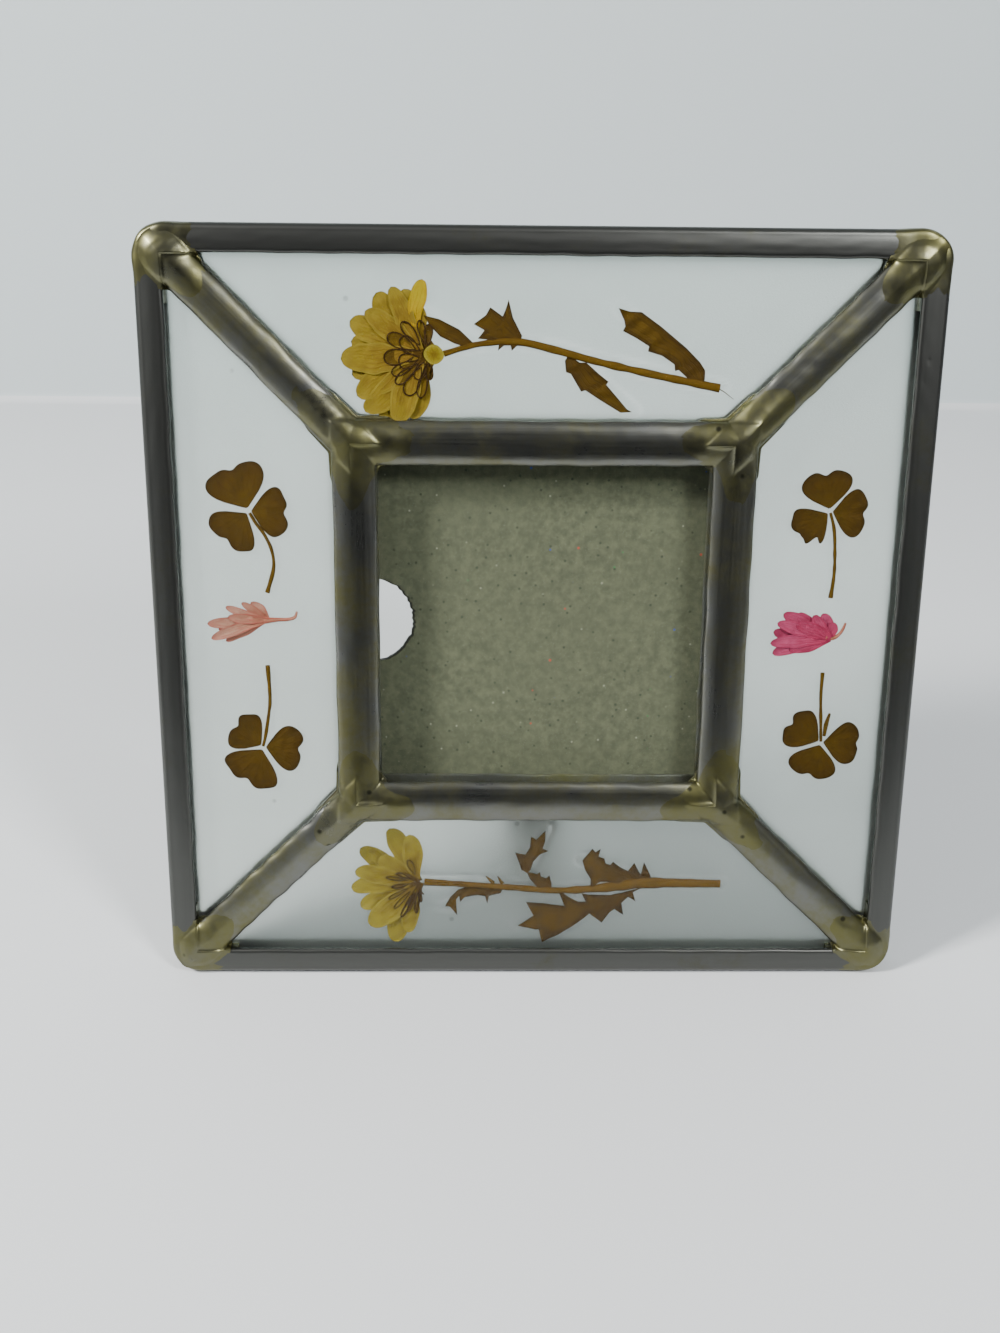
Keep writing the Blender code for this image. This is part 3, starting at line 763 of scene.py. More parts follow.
def outer_joint_shells(quarter, seed, swell):
    """Solder over a corner of the frame: a boxy sleeve around the channel that thins to nothing at its ends,
    and pools over the crotch with the diagonal, in front and behind."""
    chance = np.random.default_rng(seed)
    reach_a, reach_b = chance.uniform(6.0, 8.0, 2)
    bend = CORNER * pi / 2
    way = np.linspace(-reach_a, bend + reach_b, 90)
    turn = np.clip(way / CORNER, 0, pi / 2)
    over = way - turn * CORNER
    middle = np.clip(1 - ((way - bend / 2) / (bend / 2 + (reach_a + reach_b) / 2)) ** 2, 0, 1)
    thick = (0.5 * swell + 0.10) * middle ** 1.4 - 0.10
    ring = ring_of(56)
    power = 0.34
    flat = np.abs(np.cos(ring)) ** power * np.sign(np.cos(ring))
    tall = np.abs(np.sin(ring)) ** power * np.sign(np.sin(ring))
    bumps = 0.05 * waves(way[:, None], ring[None, :] * 2.2, seed + 1, 6.0) * smooth(middle, 0.3, 0.8)[:, None]
    depth = LIP / 2 + (LIP / 2 + 0.6 * thick[:, None] + bumps) * flat[None, :]
    height = (3.0 + thick[:, None] + bumps) * tall[None, :]
    straight = HALF - CORNER
    radius = CORNER - depth
    u = straight + radius * np.sin(turn)[:, None] + np.where(over < 0, over, 0)[:, None]
    v = straight + radius * np.cos(turn)[:, None] - np.where(over > 0, over, 0)[:, None]
    places = turned(u, v, quarter)
    uv = np.stack(np.broadcast_arrays(way[:, None], ring[None, :] * 3), -1)
    shells = [tube_shell(np.stack([*places, depth * SLOPE + height], -1), uv)]
    centre = turned(59.6, 59.6, quarter)
    heading = pi / 4 - quarter * pi / 2
    outline = lobed(5.0, [(heading + pi, 0.75, 0.10)], seed + 2, 0.03)
    shells += [solder_lens(centre, outline, face, 0.9 * swell, seed + 3 + face, 0.06, 0.7, 0.4)
        for face in (1, -1)]
    return shells


def window_joint_shells(quarter, seed, size, thick):
    """Solder over a corner of the window, front and back, with lobes along the diagonal and both window
    cames."""
    centre = turned(31.6, 31.6, quarter)
    centre = (centre[0] + WINDOW_SHIFT * 0.8, centre[1])
    out = pi / 4 - quarter * pi / 2
    chance = np.random.default_rng(seed)
    swells = chance.uniform(0.45, 0.80, 3)
    lobes = [(out, swells[0], 0.07), (out + 0.75 * pi, swells[1], 0.06), (out - 0.75 * pi, swells[2], 0.06)]
    outline = lobed(size, lobes, seed + 1, 0.04)
    return [solder_lens(centre, outline, face, 0.7 * thick, seed + 3 + face, 0.05, 0.75, 0.4)
        for face in (1, -1)]


# ---- glass


def trapezoid(quarter, inner, outer, low, high, gap, seed, marked=False):
    """A pane between two diagonals: rows from its inner to its outer edge, columns across, faces low and high
    off the middle plane."""
    reach = np.linspace(inner, outer, 60)[:, None]
    share = np.linspace(-1, 1, 200)[None, :]
    across = share * (reach - gap)
    outward = reach + 0 * share
    u, v = turned(across, outward, quarter)
    middle = (HALF - outward) * SLOPE
    ripple = 0.012 * waves(across, outward, seed, 16.0)
    front = np.stack([u, v, middle + high + ripple], -1)
    back = np.stack([u, v, middle + low + 0 * ripple], -1)
    # The lift and edge marks are filled in by the frosted sheets; edge carries painted shade along the cames.
    kept = {"lift": np.zeros(u.shape), "edge": np.zeros(u.shape)} if marked else {}
    return front, back, np.stack([u, v], -1), kept


# ---- dried plants


def place_of(quarter_free_u, quarter_free_v, level):
    return np.stack([quarter_free_u, quarter_free_v,
        mid(quarter_free_u, quarter_free_v) + np.clip(level, -0.40, 0.40)], -1)


def blade(base, tip, width, profile, seed=0, bow=0.0, level=0.0, curl=0.08, thick=0.07, tone=0.0, fold=0.0,
        rows=34, columns=13):
    """A petal or leaf: from base to tip along a bowed line, its half width given by the profile of the share
    along,
    cupped across and slightly wrinkled, as a thin closed sheet."""
    share = np.linspace(0, 1, rows)[:, None]
    side = np.linspace(-1, 1, columns)[None, :]
    run = np.array(tip, float) - np.array(base, float)
    long = np.hypot(*run)
    ahead = run / long
    left = np.array([-ahead[1], ahead[0]])
    reach = width * 0.5 * profile(share, side) * side
    sway = bow * np.sin(pi * share) + 0.03 * width * waves(share * long, 0 * side, seed, 5.0)
    u = base[0] + run[0] * share + left[0] * (reach + sway)
    v = base[1] + run[1] * share + left[1] * (reach + sway)
    lift = level + curl * (side ** 2 - 0.5) + fold * np.abs(side) + 0.05 * waves(u, v, seed + 1, 2.6)
    tones = tone + 0.25 * waves(u, v, seed + 2, 3.0)
    rim = np.maximum(np.abs(side) ** 5, share ** 8) + 0 * share
    uv = np.stack(np.broadcast_arrays(share, side * 0.5 + 0.5), -1)
    thin = thick * (1 - 0.7 * np.abs(side) ** 4) * np.ones(u.shape)
    return sheet_shell(place_of(u, v, lift + thin / 2), place_of(u, v, lift - thin / 2), uv,
        {"rim": rim, "tone": np.clip(tones, 0, 1)})


def petal_form(blunt=0.45, neck=0.30):
    """Half width of a petal: a narrow neck that widens and then rounds off at the tip."""
    return lambda t, a: (neck + (1 - neck) * smooth(t, -0.05, 0.6)) * np.clip(1 - t ** (2 / blunt), 0, 1) ** 0.5


def rod(points, widths, level=0.0, flat=0.55, seed=0, steps=140, around=12, tone=0.0):
    """A stem: a smooth curve through the points with an oval section, its width following the given ones,
    slightly ribbed."""
    points = np.array(points, float)
    share = np.linspace(0, 1, len(points))
    fine = np.linspace(0, 1, steps)
    slopes = np.gradient(points, share, axis=0)
    index = np.clip(np.searchsorted(share, fine, side="right") - 1, 0, len(points) - 2)
    gap = (share[1] - share[0])
    t = ((fine - share[index]) / gap)[:, None]
    path = (
        (1 + 2 * t) * (1 - t) ** 2 * points[index] + t * (1 - t) ** 2 * gap * slopes[index]
        + t * t * (3 - 2 * t) * points[index + 1] + t * t * (t - 1) * gap * slopes[index + 1]
    )
    ahead = np.gradient(path, axis=0)
    ahead /= np.hypot(*ahead.T)[:, None]
    left = np.stack([-ahead[:, 1], ahead[:, 0]], -1)
    length = np.cumsum(np.hypot(*np.diff(path, axis=0, prepend=path[:1]).T))
    half = 0.5 * np.interp(fine, np.linspace(0, 1, len(widths)),
        widths) * (1 + 0.07 * waves(length, 0 * length, seed, 3.0))
    ring = ring_of(around)
    reach = half[:, None] * np.cos(ring)[None, :]
    u = path[:, :1] + left[:, :1] * reach
    v = path[:, 1:] + left[:, 1:] * reach
    rise = np.minimum(half * flat, 0.30)[:, None] * np.sin(ring)[None, :]
    uv = np.stack(np.broadcast_arrays(length[:, None] / 12.0, ring[None, :] / tau), -1)
    rim = np.abs(np.cos(ring))[None, :] ** 4 + 0 * reach
    tones = np.clip(tone + 0.3 * waves(length[:, None], ring[None, :], seed + 1, 4.0), 0, 1)
    return tube_shell(place_of(u, v, level + rise), uv, {"rim": rim, "tone": tones})


def leaflet_shell(centre, heading, length, width, level, seed, tone=0.0, torn=0.0):
    """A clover leaflet: rays fanned from its point to a heart outline. The ray's reach is one less a seventh of
    e^-(angle / 0.17)^2, the cleft, times the root of 1 - |share of the fan|^8, which rounds the lobes into straight sides."""
    side = np.linspace(-1, 1, 61)[None, :]
    share = np.linspace(0.02, 1, 20)[:, None]
    angle = radians(58) * side
    reach = (1 - 0.14 * np.exp(-(angle / 0.17) ** 2)) * (1 - 0.98 * side ** 8) ** 0.5
    reach = reach * (1 + 0.03 * waves(side * 4, 0 * side, seed, 2.6)) - torn * smooth(side, 0.0,
        0.5) * (0.6 + 0.4 * np.sin(side * 14))
    x = 0.45 + (length - 0.45) * share * reach * np.cos(angle) / 0.94
    y = width * share * reach * np.sin(angle) / 1.32
    u = centre[0] + x * cos(heading) - y * sin(heading)
    v = centre[1] + x * sin(heading) + y * cos(heading)
    lift = level + 0.05 * waves(u, v, seed + 1, 3.0) + 0.12 * np.abs(side) * share
    rim = np.maximum(share ** 9, np.abs(side) ** 14) + 0 * u
    tones = np.clip(tone + 0.45 * waves(u, v, seed + 2, 4.0), 0, 1)
    uv = np.stack(np.broadcast_arrays(share, side * 0.5 + 0.5), -1)
    return sheet_shell(place_of(u, v, lift + 0.04), place_of(u, v, lift - 0.04), uv,
        {"rim": rim, "tone": tones})


def teardrop(base, tip, width, level, seed, thick=0.20, tone=0.9):
    """The dark outline of a bract: a thin rod out on one side and back on the other; across is the width times
    the sine
    of the turn times the root of the share along."""
    turn = np.linspace(0, tau, 15)
    along = (1 - np.cos(turn)) / 2
    run = np.array(tip, float) - np.array(base, float)
    long = np.hypot(*run)
    across = width * 0.62 * np.sin(turn) * np.sqrt(along)
    left = np.array([-run[1], run[0]]) / long
    path = np.array(base, float) + along[:, None] * run + across[:, None] * left
    return rod(path, [thick * 0.7, thick, thick * 1.15, thick, thick * 0.7], level, 0.8, seed, 60, 8, tone)


def loop_shell(centre, size, level, seed, tone=0.0, slim=0.72, heading=0.0):
    """A small bract or floret seen end on: a rounded leaf-like disc with a dark outline."""
    share = np.linspace(0.1, 1, 7)[:, None]
    t = ring_of(28)[None, :]
    along = np.cos(t) * share * size * 0.5 * (1 + 0.1 * np.sin(2 * t + seed))
    across = np.sin(t) * share * size * 0.5 * slim
    u = centre[0] + along * cos(heading) - across * sin(heading)
    v = centre[1] + along * sin(heading) + across * cos(heading)
    lift = level + 0.05 * share ** 3 + 0 * t
    uv = np.stack(np.broadcast_arrays(share, t / tau), -1)
    rim = smooth(share, 0.72, 0.95) + 0 * t
    return disc_shell(
        place_of(u, v, lift + 0.04), place_of(u, v, lift - 0.05), uv,
        {"rim": rim, "tone": np.full(u.shape, tone)}
    )


def even_run(line, marks):
    """A chain of points read at shares of its length."""
    line = np.array(line, float)
    length = np.concatenate([[0], np.cumsum(np.hypot(*np.diff(line, axis=0).T))])
    length /= length[-1]
    return np.stack([np.interp(marks, length, line[:, 0]), np.interp(marks, length, line[:, 1])], -1), length


def cut_leaf(base, tip, left, right, level=0.0, seed=0, tone=0.0, curl=0.10, columns=11):
    """A jagged leaf ruled between its two edges. Each edge is a chain of corners, as distance along the line
    from base to tip
    and distance to its left, so that every tooth keeps its point."""
    base, tip = np.array(base, float), np.array(tip, float)
    long = np.hypot(*(tip - base))
    ends = [(0.0, 0.0)], [(long, 0.0)]
    edges = [ends[0] + list(edge) + ends[1] for edge in (left, right)]
    shares = np.unique(np.round(np.concatenate([np.linspace(0, 1, 90)] + [even_run(edge, [0])[1]
        for edge in edges]), 5))
    near, far = (even_run(edge, shares)[0] for edge in edges)
    side = np.linspace(-1, 1, columns)[None, :, None]
    flat = near[:, None] * (1 - side) / 2 + far[:, None] * (1 + side) / 2
    ahead = (tip - base) / long
    u = base[0] + ahead[0] * flat[..., 0] - ahead[1] * flat[..., 1]
    v = base[1] + ahead[1] * flat[..., 0] + ahead[0] * flat[..., 1]
    across = side[..., 0] + 0 * u
    lift = level + curl * (across ** 2 - 0.4) + 0.07 * waves(u, v, seed, 2.4)
    rim = np.maximum(np.abs(across) ** 4, smooth(flat[..., 0] / long, 0.9, 1.0) * 0.7)
    tones = np.clip(tone + 0.35 * waves(u, v, seed + 2, 2.6), 0, 1)
    uv = np.stack([flat[..., 0] / long, across * 0.5 + 0.5], -1)
    marks = {"rim": rim, "tone": tones}
    return sheet_shell(place_of(u, v, lift + 0.04), place_of(u, v, lift - 0.04), uv, marks)


def petals(base, tips, width, seed, bend=0.0, neck=0.30, spread=0.0, level=0.0):
    """Petals from a shared base to each tip, laid over one another; each row of tips is (u, v, width share,
    tone)."""
    shells = []
    for index, (u, v, share, tone) in enumerate(tips):
        depth = level + 0.26 * np.sin(2.4 * index)
        start = (base[0] + spread * (u - base[0]), base[1] + spread * (v - base[1]))
        shells.append(blade(
            start, (u, v), width * share, petal_form(0.42, neck), seed + index,
            bend * np.sin(1.7 * index + seed), depth,
            tone=tone, thick=0.05, columns=15, rows=40,
        ))
    return shells


TOP_STEM = [(-16.0, 45.0), (-10.7, 46.5), (-4.3, 47.0), (2.1, 45.7), (8.6, 44.0), (18.4, 41.9), (28.8, 39.9)]
BOTTOM_STEM = [(-19.6, -47.7), (-12.0, -48.2), (-4.0, -48.8), (4.3, -49.4), (12.0, -48.9), (20.0, -47.9),
    (33.6, -48.0)]
LEAVES = [
    ((-11.0, 46.4), (-19.2, 51.0), [(0.4, 0.9), (3.0, 1.4), (5.5, 1.6), (7.9, 0.9)],
        [(0.9, -0.3), (3.4, -0.9), (7.0, -0.7)]),
    (
        (-3.8, 46.9), (-11.2, 49.7),
        [(0.2, 0.6), (0.7, 1.7), (1.2, 1.0), (2.2, 1.4), (2.8, 2.5), (3.0, 1.6), (4.4, 1.3), (6.5, 1.9),
            (6.1, 1.2), (5.2, 0.4)],
        [(0.0, -1.1), (2.4, -3.2), (4.1, -5.6), (3.7, -2.7), (4.8, -3.0), (6.4, -3.4), (6.6, -2.0)],
    ),
    (
        (4.1, 45.0), (14.6, 36.0),
        [(2.2, 0.3), (3.0, 1.0), (5.8, 1.0), (7.7, 1.1), (7.8, 0.5), (10.9, 0.1), (12.9, -0.2)],
        [(0.2, -1.1), (1.5, -2.3), (2.3, -2.0), (5.4, -3.0), (5.8, -2.4), (8.6, -2.0), (12.5, -1.3)],
    ),
    (
        (25.6, 40.7), (12.0, 52.4),
        [(1.5, 0.8), (4.1, 0.8), (4.4, 1.3), (5.2, 0.6), (7.6, 0.9), (9.8, 1.9), (10.2, 1.2), (12.6, 1.6),
            (15.0, 2.2), (15.2, 1.4), (16.0, 0.8)],
        [(-0.2, -0.8), (0.8, -2.0), (2.3, -2.4), (5.4, -2.6), (10.7, -2.4), (14.7, -2.0), (16.2, -0.8)],
    ),
    (
        (-5.6, -49.2), (-15.9, -52.7),
        [(0.5, 0.6), (2.7, 0.5), (3.5, 1.9), (3.4, 0.4), (4.5, -0.3), (6.9, -0.7), (8.0, 0.0), (7.8, -1.2),
            (8.6, -0.6), (9.4, 2.4), (10.1, 0.3)],
        [(1.0, -1.2), (5.3, -2.6), (7.5, -2.5), (9.4, -1.5)],
    ),
    (
        (3.2, -48.8), (-1.3, -45.6), [(1.4, 1.2), (2.6, 1.3), (4.2, 0.8)],
        [(0.5, -0.7), (1.8, -1.8), (1.9, -1.0), (2.9, -0.7), (3.5, -1.3), (3.7, -0.7), (4.6, -0.4)],
    ),
    (
        (-1.2, -45.8), (1.9, -37.4),
        [(0.2, 1.2), (1.3, 2.0), (3.1, 3.5), (2.5, 1.7), (5.0, 1.4), (7.0, 2.0), (6.3, 1.1)],
        [(0.9, -0.3), (2.6, -0.2), (4.2, -0.7), (5.4, -1.9), (5.5, -0.8), (7.0, -0.7)],
    ),
    (
        (21.3, -47.7), (8.6, -43.3),
        [(1.8, 1.5), (6.5, 2.2), (8.9, 3.0), (10.2, 4.5), (10.7, 3.0), (12.4, 1.5)],
        [
            (0.9, -1.3), (2.9, -3.3), (1.7, -1.3), (2.6, -0.8), (4.5, -2.6), (3.6, -0.8), (4.9, -0.7),
            (6.4, -0.9), (8.2, -1.6),
            (7.4, -0.8), (9.3, -0.8), (9.9, -1.7), (11.0, -1.7), (11.2, -3.3), (11.8, -2.3), (12.6, -2.8),
            (12.9, -1.8),
        ],
    ),
    (
        (19.4, -48.9), (-2.7, -56.7),
        [
            (1.7, 0.4), (1.8, 2.3), (2.6, 0.8), (4.3, 1.8), (4.7, 4.2), (4.9, 2.2), (6.9, 2.9), (8.9, 4.4),
            (8.7, 2.1),
            (10.2, 1.8), (13.0, 3.0), (16.4, 4.0), (20.4, 4.7), (18.2, 2.6), (20.6, 1.8),
        ],
        [(5.6, -0.4), (9.3, -1.8), (10.5, -2.5), (10.3, -0.7), (12.1, -1.2), (13.2, -2.0), (14.3, -4.8),
            (14.2, -1.1), (17.0, -2.5), (20.5, -4.2), (19.6, -1.2)],
    ),
]
LEAF_NODES = (
    ["top_daisy_leaf_bud"], ["top_daisy_leaf_lobed"], ["top_daisy_leaf_lower"], ["top_daisy_leaf_upper"],
    ["bottom_daisy_leaf_near"], ["bottom_daisy_leaf_rising"], [], ["bottom_daisy_leaf_upper"],
    ["bottom_daisy_leaf_large"],
)
LEAF_NAMES = (
    "leaf_bud", "leaf_lobed", "leaf_lower", "leaf_upper", "leaf_near", "leaf_rising", "leaf_forked",
    "leaf_curled", "leaf_large",
)


# ---- what a user may change


class FrameLook(bpy.types.PropertyGroup):
    """Finishes of the lead, the solder, the frosted sheets and the board."""

    lead: bpy.props.FloatVectorProperty(
        name="Lead", description="Colour of the bare came metal", subtype="COLOR", default=(0.150, 0.152, 0.142)
    )
    olive: bpy.props.FloatVectorProperty(
        name="Patina", description="Colour of the old patina on the metal", subtype="COLOR",
        default=(0.128, 0.122, 0.050)
    )
    solder: bpy.props.FloatVectorProperty(
        name="Solder", description="Colour of the bare solder", subtype="COLOR", default=(0.128, 0.127, 0.098)
    )
    haze: bpy.props.FloatVectorProperty(
        name="Haze", description="Colour of the frosted sheets", subtype="COLOR", default=(0.84, 0.89, 0.86)
    )
    board: bpy.props.FloatVectorProperty(
        name="Board", description="Colour of the chipboard backing", subtype="COLOR",
        default=(0.088, 0.0915, 0.054)
    )
    patina: bpy.props.FloatProperty(
        name="Patina amount", description="How much of the metal the patina covers", default=0.46, min=0, max=1,
        subtype="FACTOR"
    )
    satin: bpy.props.FloatProperty(
        name="Satin", description="Roughness of the came metal", default=0.30, min=0.05, max=1, subtype="FACTOR"
    )
    frost: bpy.props.FloatProperty(
        name="Frost", description="Roughness of the frosted sheets", default=0.36, min=0.05, max=1,
        subtype="FACTOR"
    )
    sheerness: bpy.props.FloatProperty(
        name="Sheerness", description="How much light passes the frosted sheets", default=0.93, min=0, max=1,
        subtype="FACTOR"
    )


class StageLook(bpy.types.PropertyGroup):
    """The table, the lamps and the camera."""

    table: bpy.props.FloatVectorProperty(
        name="Table", description="Colour of the table and the wall behind", subtype="COLOR",
        default=(0.66, 0.675, 0.68)
    )
    key: bpy.props.FloatProperty(
        name="Window light", description="Power of the lamp at the left, in watts", default=10.6, min=0,
        subtype="POWER"
    )
    fill: bpy.props.FloatProperty(
        name="Second light", description="Power of the lamp at the right, in watts", default=4.9, min=0,
        subtype="POWER"
    )
    top: bpy.props.FloatProperty(
        name="Ceiling light", description="Power of the lamp above and behind at the right, in watts",
        default=0.3, min=0, subtype="POWER"
    )
    sky: bpy.props.FloatProperty(
        name="Room light", description="Strength of the light of the room, palest overhead", default=0.52, min=0
    )
    lens: bpy.props.FloatProperty(
        name="Lens", description="Focal length of the camera, in millimetres", default=39.16, min=10, max=300
    )


def look_of(context):
    return context.scene.frame_look


def parts_of(context):
    return shared(look_of(context))


# The stage, in metres. The table's front edge is rolled down, as the y and z of its points, and a small bend
# joins it to the wall at WALL_Y. Each lamp has its place, its width and height, and its colour.
ROLLED_EDGE = [[-0.17, -0.012], [-0.165, -0.002], [-0.155, 0.0]]
WALL_Y, BEND, WALL_TOP = 0.325, 0.004, 1.4
LAMP_AIM = (0.0, 0.02, 0.05)
LAMPS = {
    "key": ((-0.56, -0.27, 0.54), 0.14, 0.14, (1.0, 0.99, 0.97)),
    "second": ((0.36, -0.48, 0.52), 0.16, 0.16, (0.98, 0.99, 1.0)),
    "overhead": ((0.36, 0.14, 0.52), 0.22, 0.16, (1.0, 1.0, 1.0)),
}
CAMERA_PLACE = (-0.01161, -0.23040, 0.17104)
CAMERA_TURN = (62.656, -0.753, -0.952)  # degrees


def area_lamp(name, place, aim, width, height, power, color):
    lamp = bpy.data.lights.new(name, "AREA")
    lamp.shape, lamp.size, lamp.size_y = "RECTANGLE", width, height
    lamp.energy, lamp.color = power, color
    made = bpy.data.objects.new(name, lamp)
    made.location = place
    direction = np.array(aim, float) - np.array(place, float)
    made.rotation_euler = Vector(direction).to_track_quat("-Z", "Y").to_euler()
    bpy.context.scene.collection.objects.link(made)


class MakeStage(bpy.types.Operator):
    """A pale table that rolls down in front and meets a pale wall, three soft lamps, a room light and the
    camera"""

    bl_idname = "flowerframe.stage"
    bl_label = "Stage"

    def execute(self, context):
        stage = context.scene.stage_look
        arc = np.linspace(0, pi / 2, 8)
        profile = np.concatenate([
            ROLLED_EDGE,
            np.stack([WALL_Y - BEND + BEND * np.sin(arc), BEND - BEND * np.cos(arc)], -1),
            [[WALL_Y, 0.6], [WALL_Y, WALL_TOP]],
        ])
        across = np.array([-1.3, -0.5, 0.5, 1.3])
        y = np.repeat(profile[:, :1], 4, 1)
        z = np.repeat(profile[:, 1:], 4, 1)
        points = np.stack([np.tile(across, (len(profile), 1)), y, z], -1).reshape(-1, 3)
        mesh = bpy.data.meshes.new("table")
        mesh.from_pydata(points.tolist(), [], grid_quads(len(profile), 4)[:, ::-1].tolist())
        mesh.polygons.foreach_set("use_smooth", [True] * len(mesh.polygons))
        for name, tint in (("pale_table", 1.0), ("pale_wall", 0.93)):
            cloth, _, shader = new_material(name, Roughness=0.55)
            tints = (tint ** 2, tint, tint * 1.01)
            shader.inputs["Base Color"].default_value = (*[c * t for c, t in zip(stage.table, tints)], 1)
            shader.inputs["Specular IOR Level"].default_value = 0.25
            mesh.materials.append(cloth)
        on_wall = [polygon.center.z > 0.002 for polygon in mesh.polygons]
        mesh.polygons.foreach_set("material_index", np.array(on_wall, np.int32))
        table = bpy.data.objects.new("table", mesh)
        context.scene.collection.objects.link(table)

        powers = (stage.key, stage.fill, stage.top)
        for (name, (place, width, height, color)), power in zip(LAMPS.items(), powers):
            area_lamp(name, place, LAMP_AIM, width, height, power, color)
        world = bpy.data.worlds.new("room")
        context.scene.world = world
        world.use_nodes = True
        w = Wires(world.node_tree)
        backdrop = world.node_tree.nodes["Background"]
        way = w.add("ShaderNodeSeparateXYZ", i0=w.add("ShaderNodeTexCoord").outputs["Generated"]).outputs
        leftward = w.math("MULTIPLY", way[0], -1.0)
        sides = w.math("ADD", w.math("MULTIPLY", w.between(leftward, 0.1, 0.6), 1.0),
            w.math("MULTIPLY", w.between(way[0], 0.1, 0.7), 0.28))
        light = w.math("ADD", w.math("MULTIPLY", w.between(way[2], 0.35, 0.9), 0.75), sides, clamp=True)
        w.set(backdrop.inputs[0], w.mix(light, (0.05, 0.055, 0.055, 1), (0.93, 0.97, 1.0, 1)))
        backdrop.inputs[1].default_value = stage.sky

        lens = bpy.data.cameras.new("camera")
        lens.lens, lens.sensor_width, lens.sensor_fit = stage.lens, 36.0, "AUTO"
        lens.dof.use_dof = False
        camera = bpy.data.objects.new("camera", lens)
        camera.location = CAMERA_PLACE
        camera.rotation_euler = Euler([radians(turn) for turn in CAMERA_TURN])
        context.scene.collection.objects.link(camera)
        context.scene.camera = camera
        return {"FINISHED"}


class MakeOuterChannel(bpy.types.Operator):
    """The lead channel around the outside, one length for each side, rounded at the corners"""

    bl_idname = "flowerframe.outer_channel"
    bl_label = "Outer channel"

    def execute(self, context):
        made = parts_of(context)
        for quarter, side in enumerate(SIDES):
            piece(f"channel_{side}", [outer_channel_shell(quarter, 11 + quarter)], made["channel"],
                [f"outer_came_{side}"])
        return {"FINISHED"}


class MakeDiagonals(bpy.types.Operator):
    """The four H cames that run from the corners to the window"""

    bl_idname = "flowerframe.diagonals"
    bl_label = "Diagonal cames"

    def execute(self, context):
        made = parts_of(context)
        for quarter, corner in enumerate(CORNERS):
            piece(f"diagonal_{corner}", [diagonal_shell(quarter, 31 + quarter)], made["lead"],
                [f"diagonal_came_{corner}"])
        return {"FINISHED"}


class MakeWindowCames(bpy.types.Operator):
    """The four H cames around the window"""

    bl_idname = "flowerframe.window_cames"
    bl_label = "Window cames"

    def execute(self, context):
        made = parts_of(context)
        for quarter, side in enumerate(SIDES):
            piece(f"window_{side}", [window_came_shell(quarter, 51 + quarter)], made["lead"],
                [f"window_came_{side}"])
        return {"FINISHED"}


class MakeCornerSolder(bpy.types.Operator):
    """Lumps of solder over the four outer corners"""

    bl_idname = "flowerframe.corner_solder"
    bl_label = "Corner solder"

    def execute(self, context):
        made = parts_of(context)
        for quarter, (corner, swell) in enumerate(zip(CORNERS, (0.62, 0.42, 0.42, 0.50))):
            piece(
                f"solder_{corner}", outer_joint_shells(quarter, 70 + 9 * quarter, swell), made["solder"],
                [f"outer_joint_{corner}"],
            )
        return {"FINISHED"}


class MakeWindowSolder(bpy.types.Operator):
    """Pools of solder over the four corners of the window"""

    bl_idname = "flowerframe.window_solder"
    bl_label = "Window solder"

    def execute(self, context):
        made = parts_of(context)
        for quarter, (corner, size,
            thick) in enumerate(zip(CORNERS, (6.7, 6.9, 6.9, 6.7), (0.55, 0.55, 0.6, 0.6))):
            piece(
                f"pool_{corner}", window_joint_shells(quarter, 120 + 9 * quarter, size, thick), made["solder"],
                [f"window_joint_{corner}"],
            )
        return {"FINISHED"}


class MakeGlass(bpy.types.Operator):
    """Clear panes over the flowers and in the window"""

    bl_idname = "flowerframe.glass"
    bl_label = "Clear glass"

    def execute(self, context):
        made = parts_of(context)
        for quarter, side in enumerate(SIDES):
            front, back, uv, marks = trapezoid(quarter, 32.1, 63.0, BED, BED + PANE, 1.1, 160 + quarter)
            piece(f"pane_{side}", [sheet_shell(front, back, uv, marks)], made["clear"],
                [f"front_glass_{side}"])
        u, v = np.meshgrid(np.linspace(-30, 30, 90), np.linspace(-30, 30, 90))
        ripple = 0.01 * waves(u, v, 170, 18.0)
        front = np.stack([u + WINDOW_SHIFT, v, 4.1 + ripple], -1)
        back = np.stack([u + WINDOW_SHIFT, v, 2.9 + 0 * u], -1)
        piece("pane_window", [sheet_shell(front, back, np.stack([u, v], -1))], made["clear"],
            ["window_glass"])
        return {"FINISHED"}


def plant_lines():
    """Runs that the frosted sheets lift around: stems and the middles of the leaves, in layout millimetres."""
    return [TOP_STEM, BOTTOM_STEM] + [np.array([leaf[0], leaf[1]], float) for leaf in LEAVES]


def distance_to(u, v, line):
    """Shortest distance from each point to a chain of straight runs."""
    line = np.array(line, float)
    start, run = line[:-1], np.diff(line, axis=0)
    rel_u = u[..., None] - start[:, 0]
    rel_v = v[..., None] - start[:, 1]
    share = np.clip((rel_u * run[:, 0] + rel_v * run[:, 1]) / (run ** 2).sum(1), 0, 1)
    return np.hypot(rel_u - share * run[:, 0], rel_v - share * run[:, 1]).min(-1)


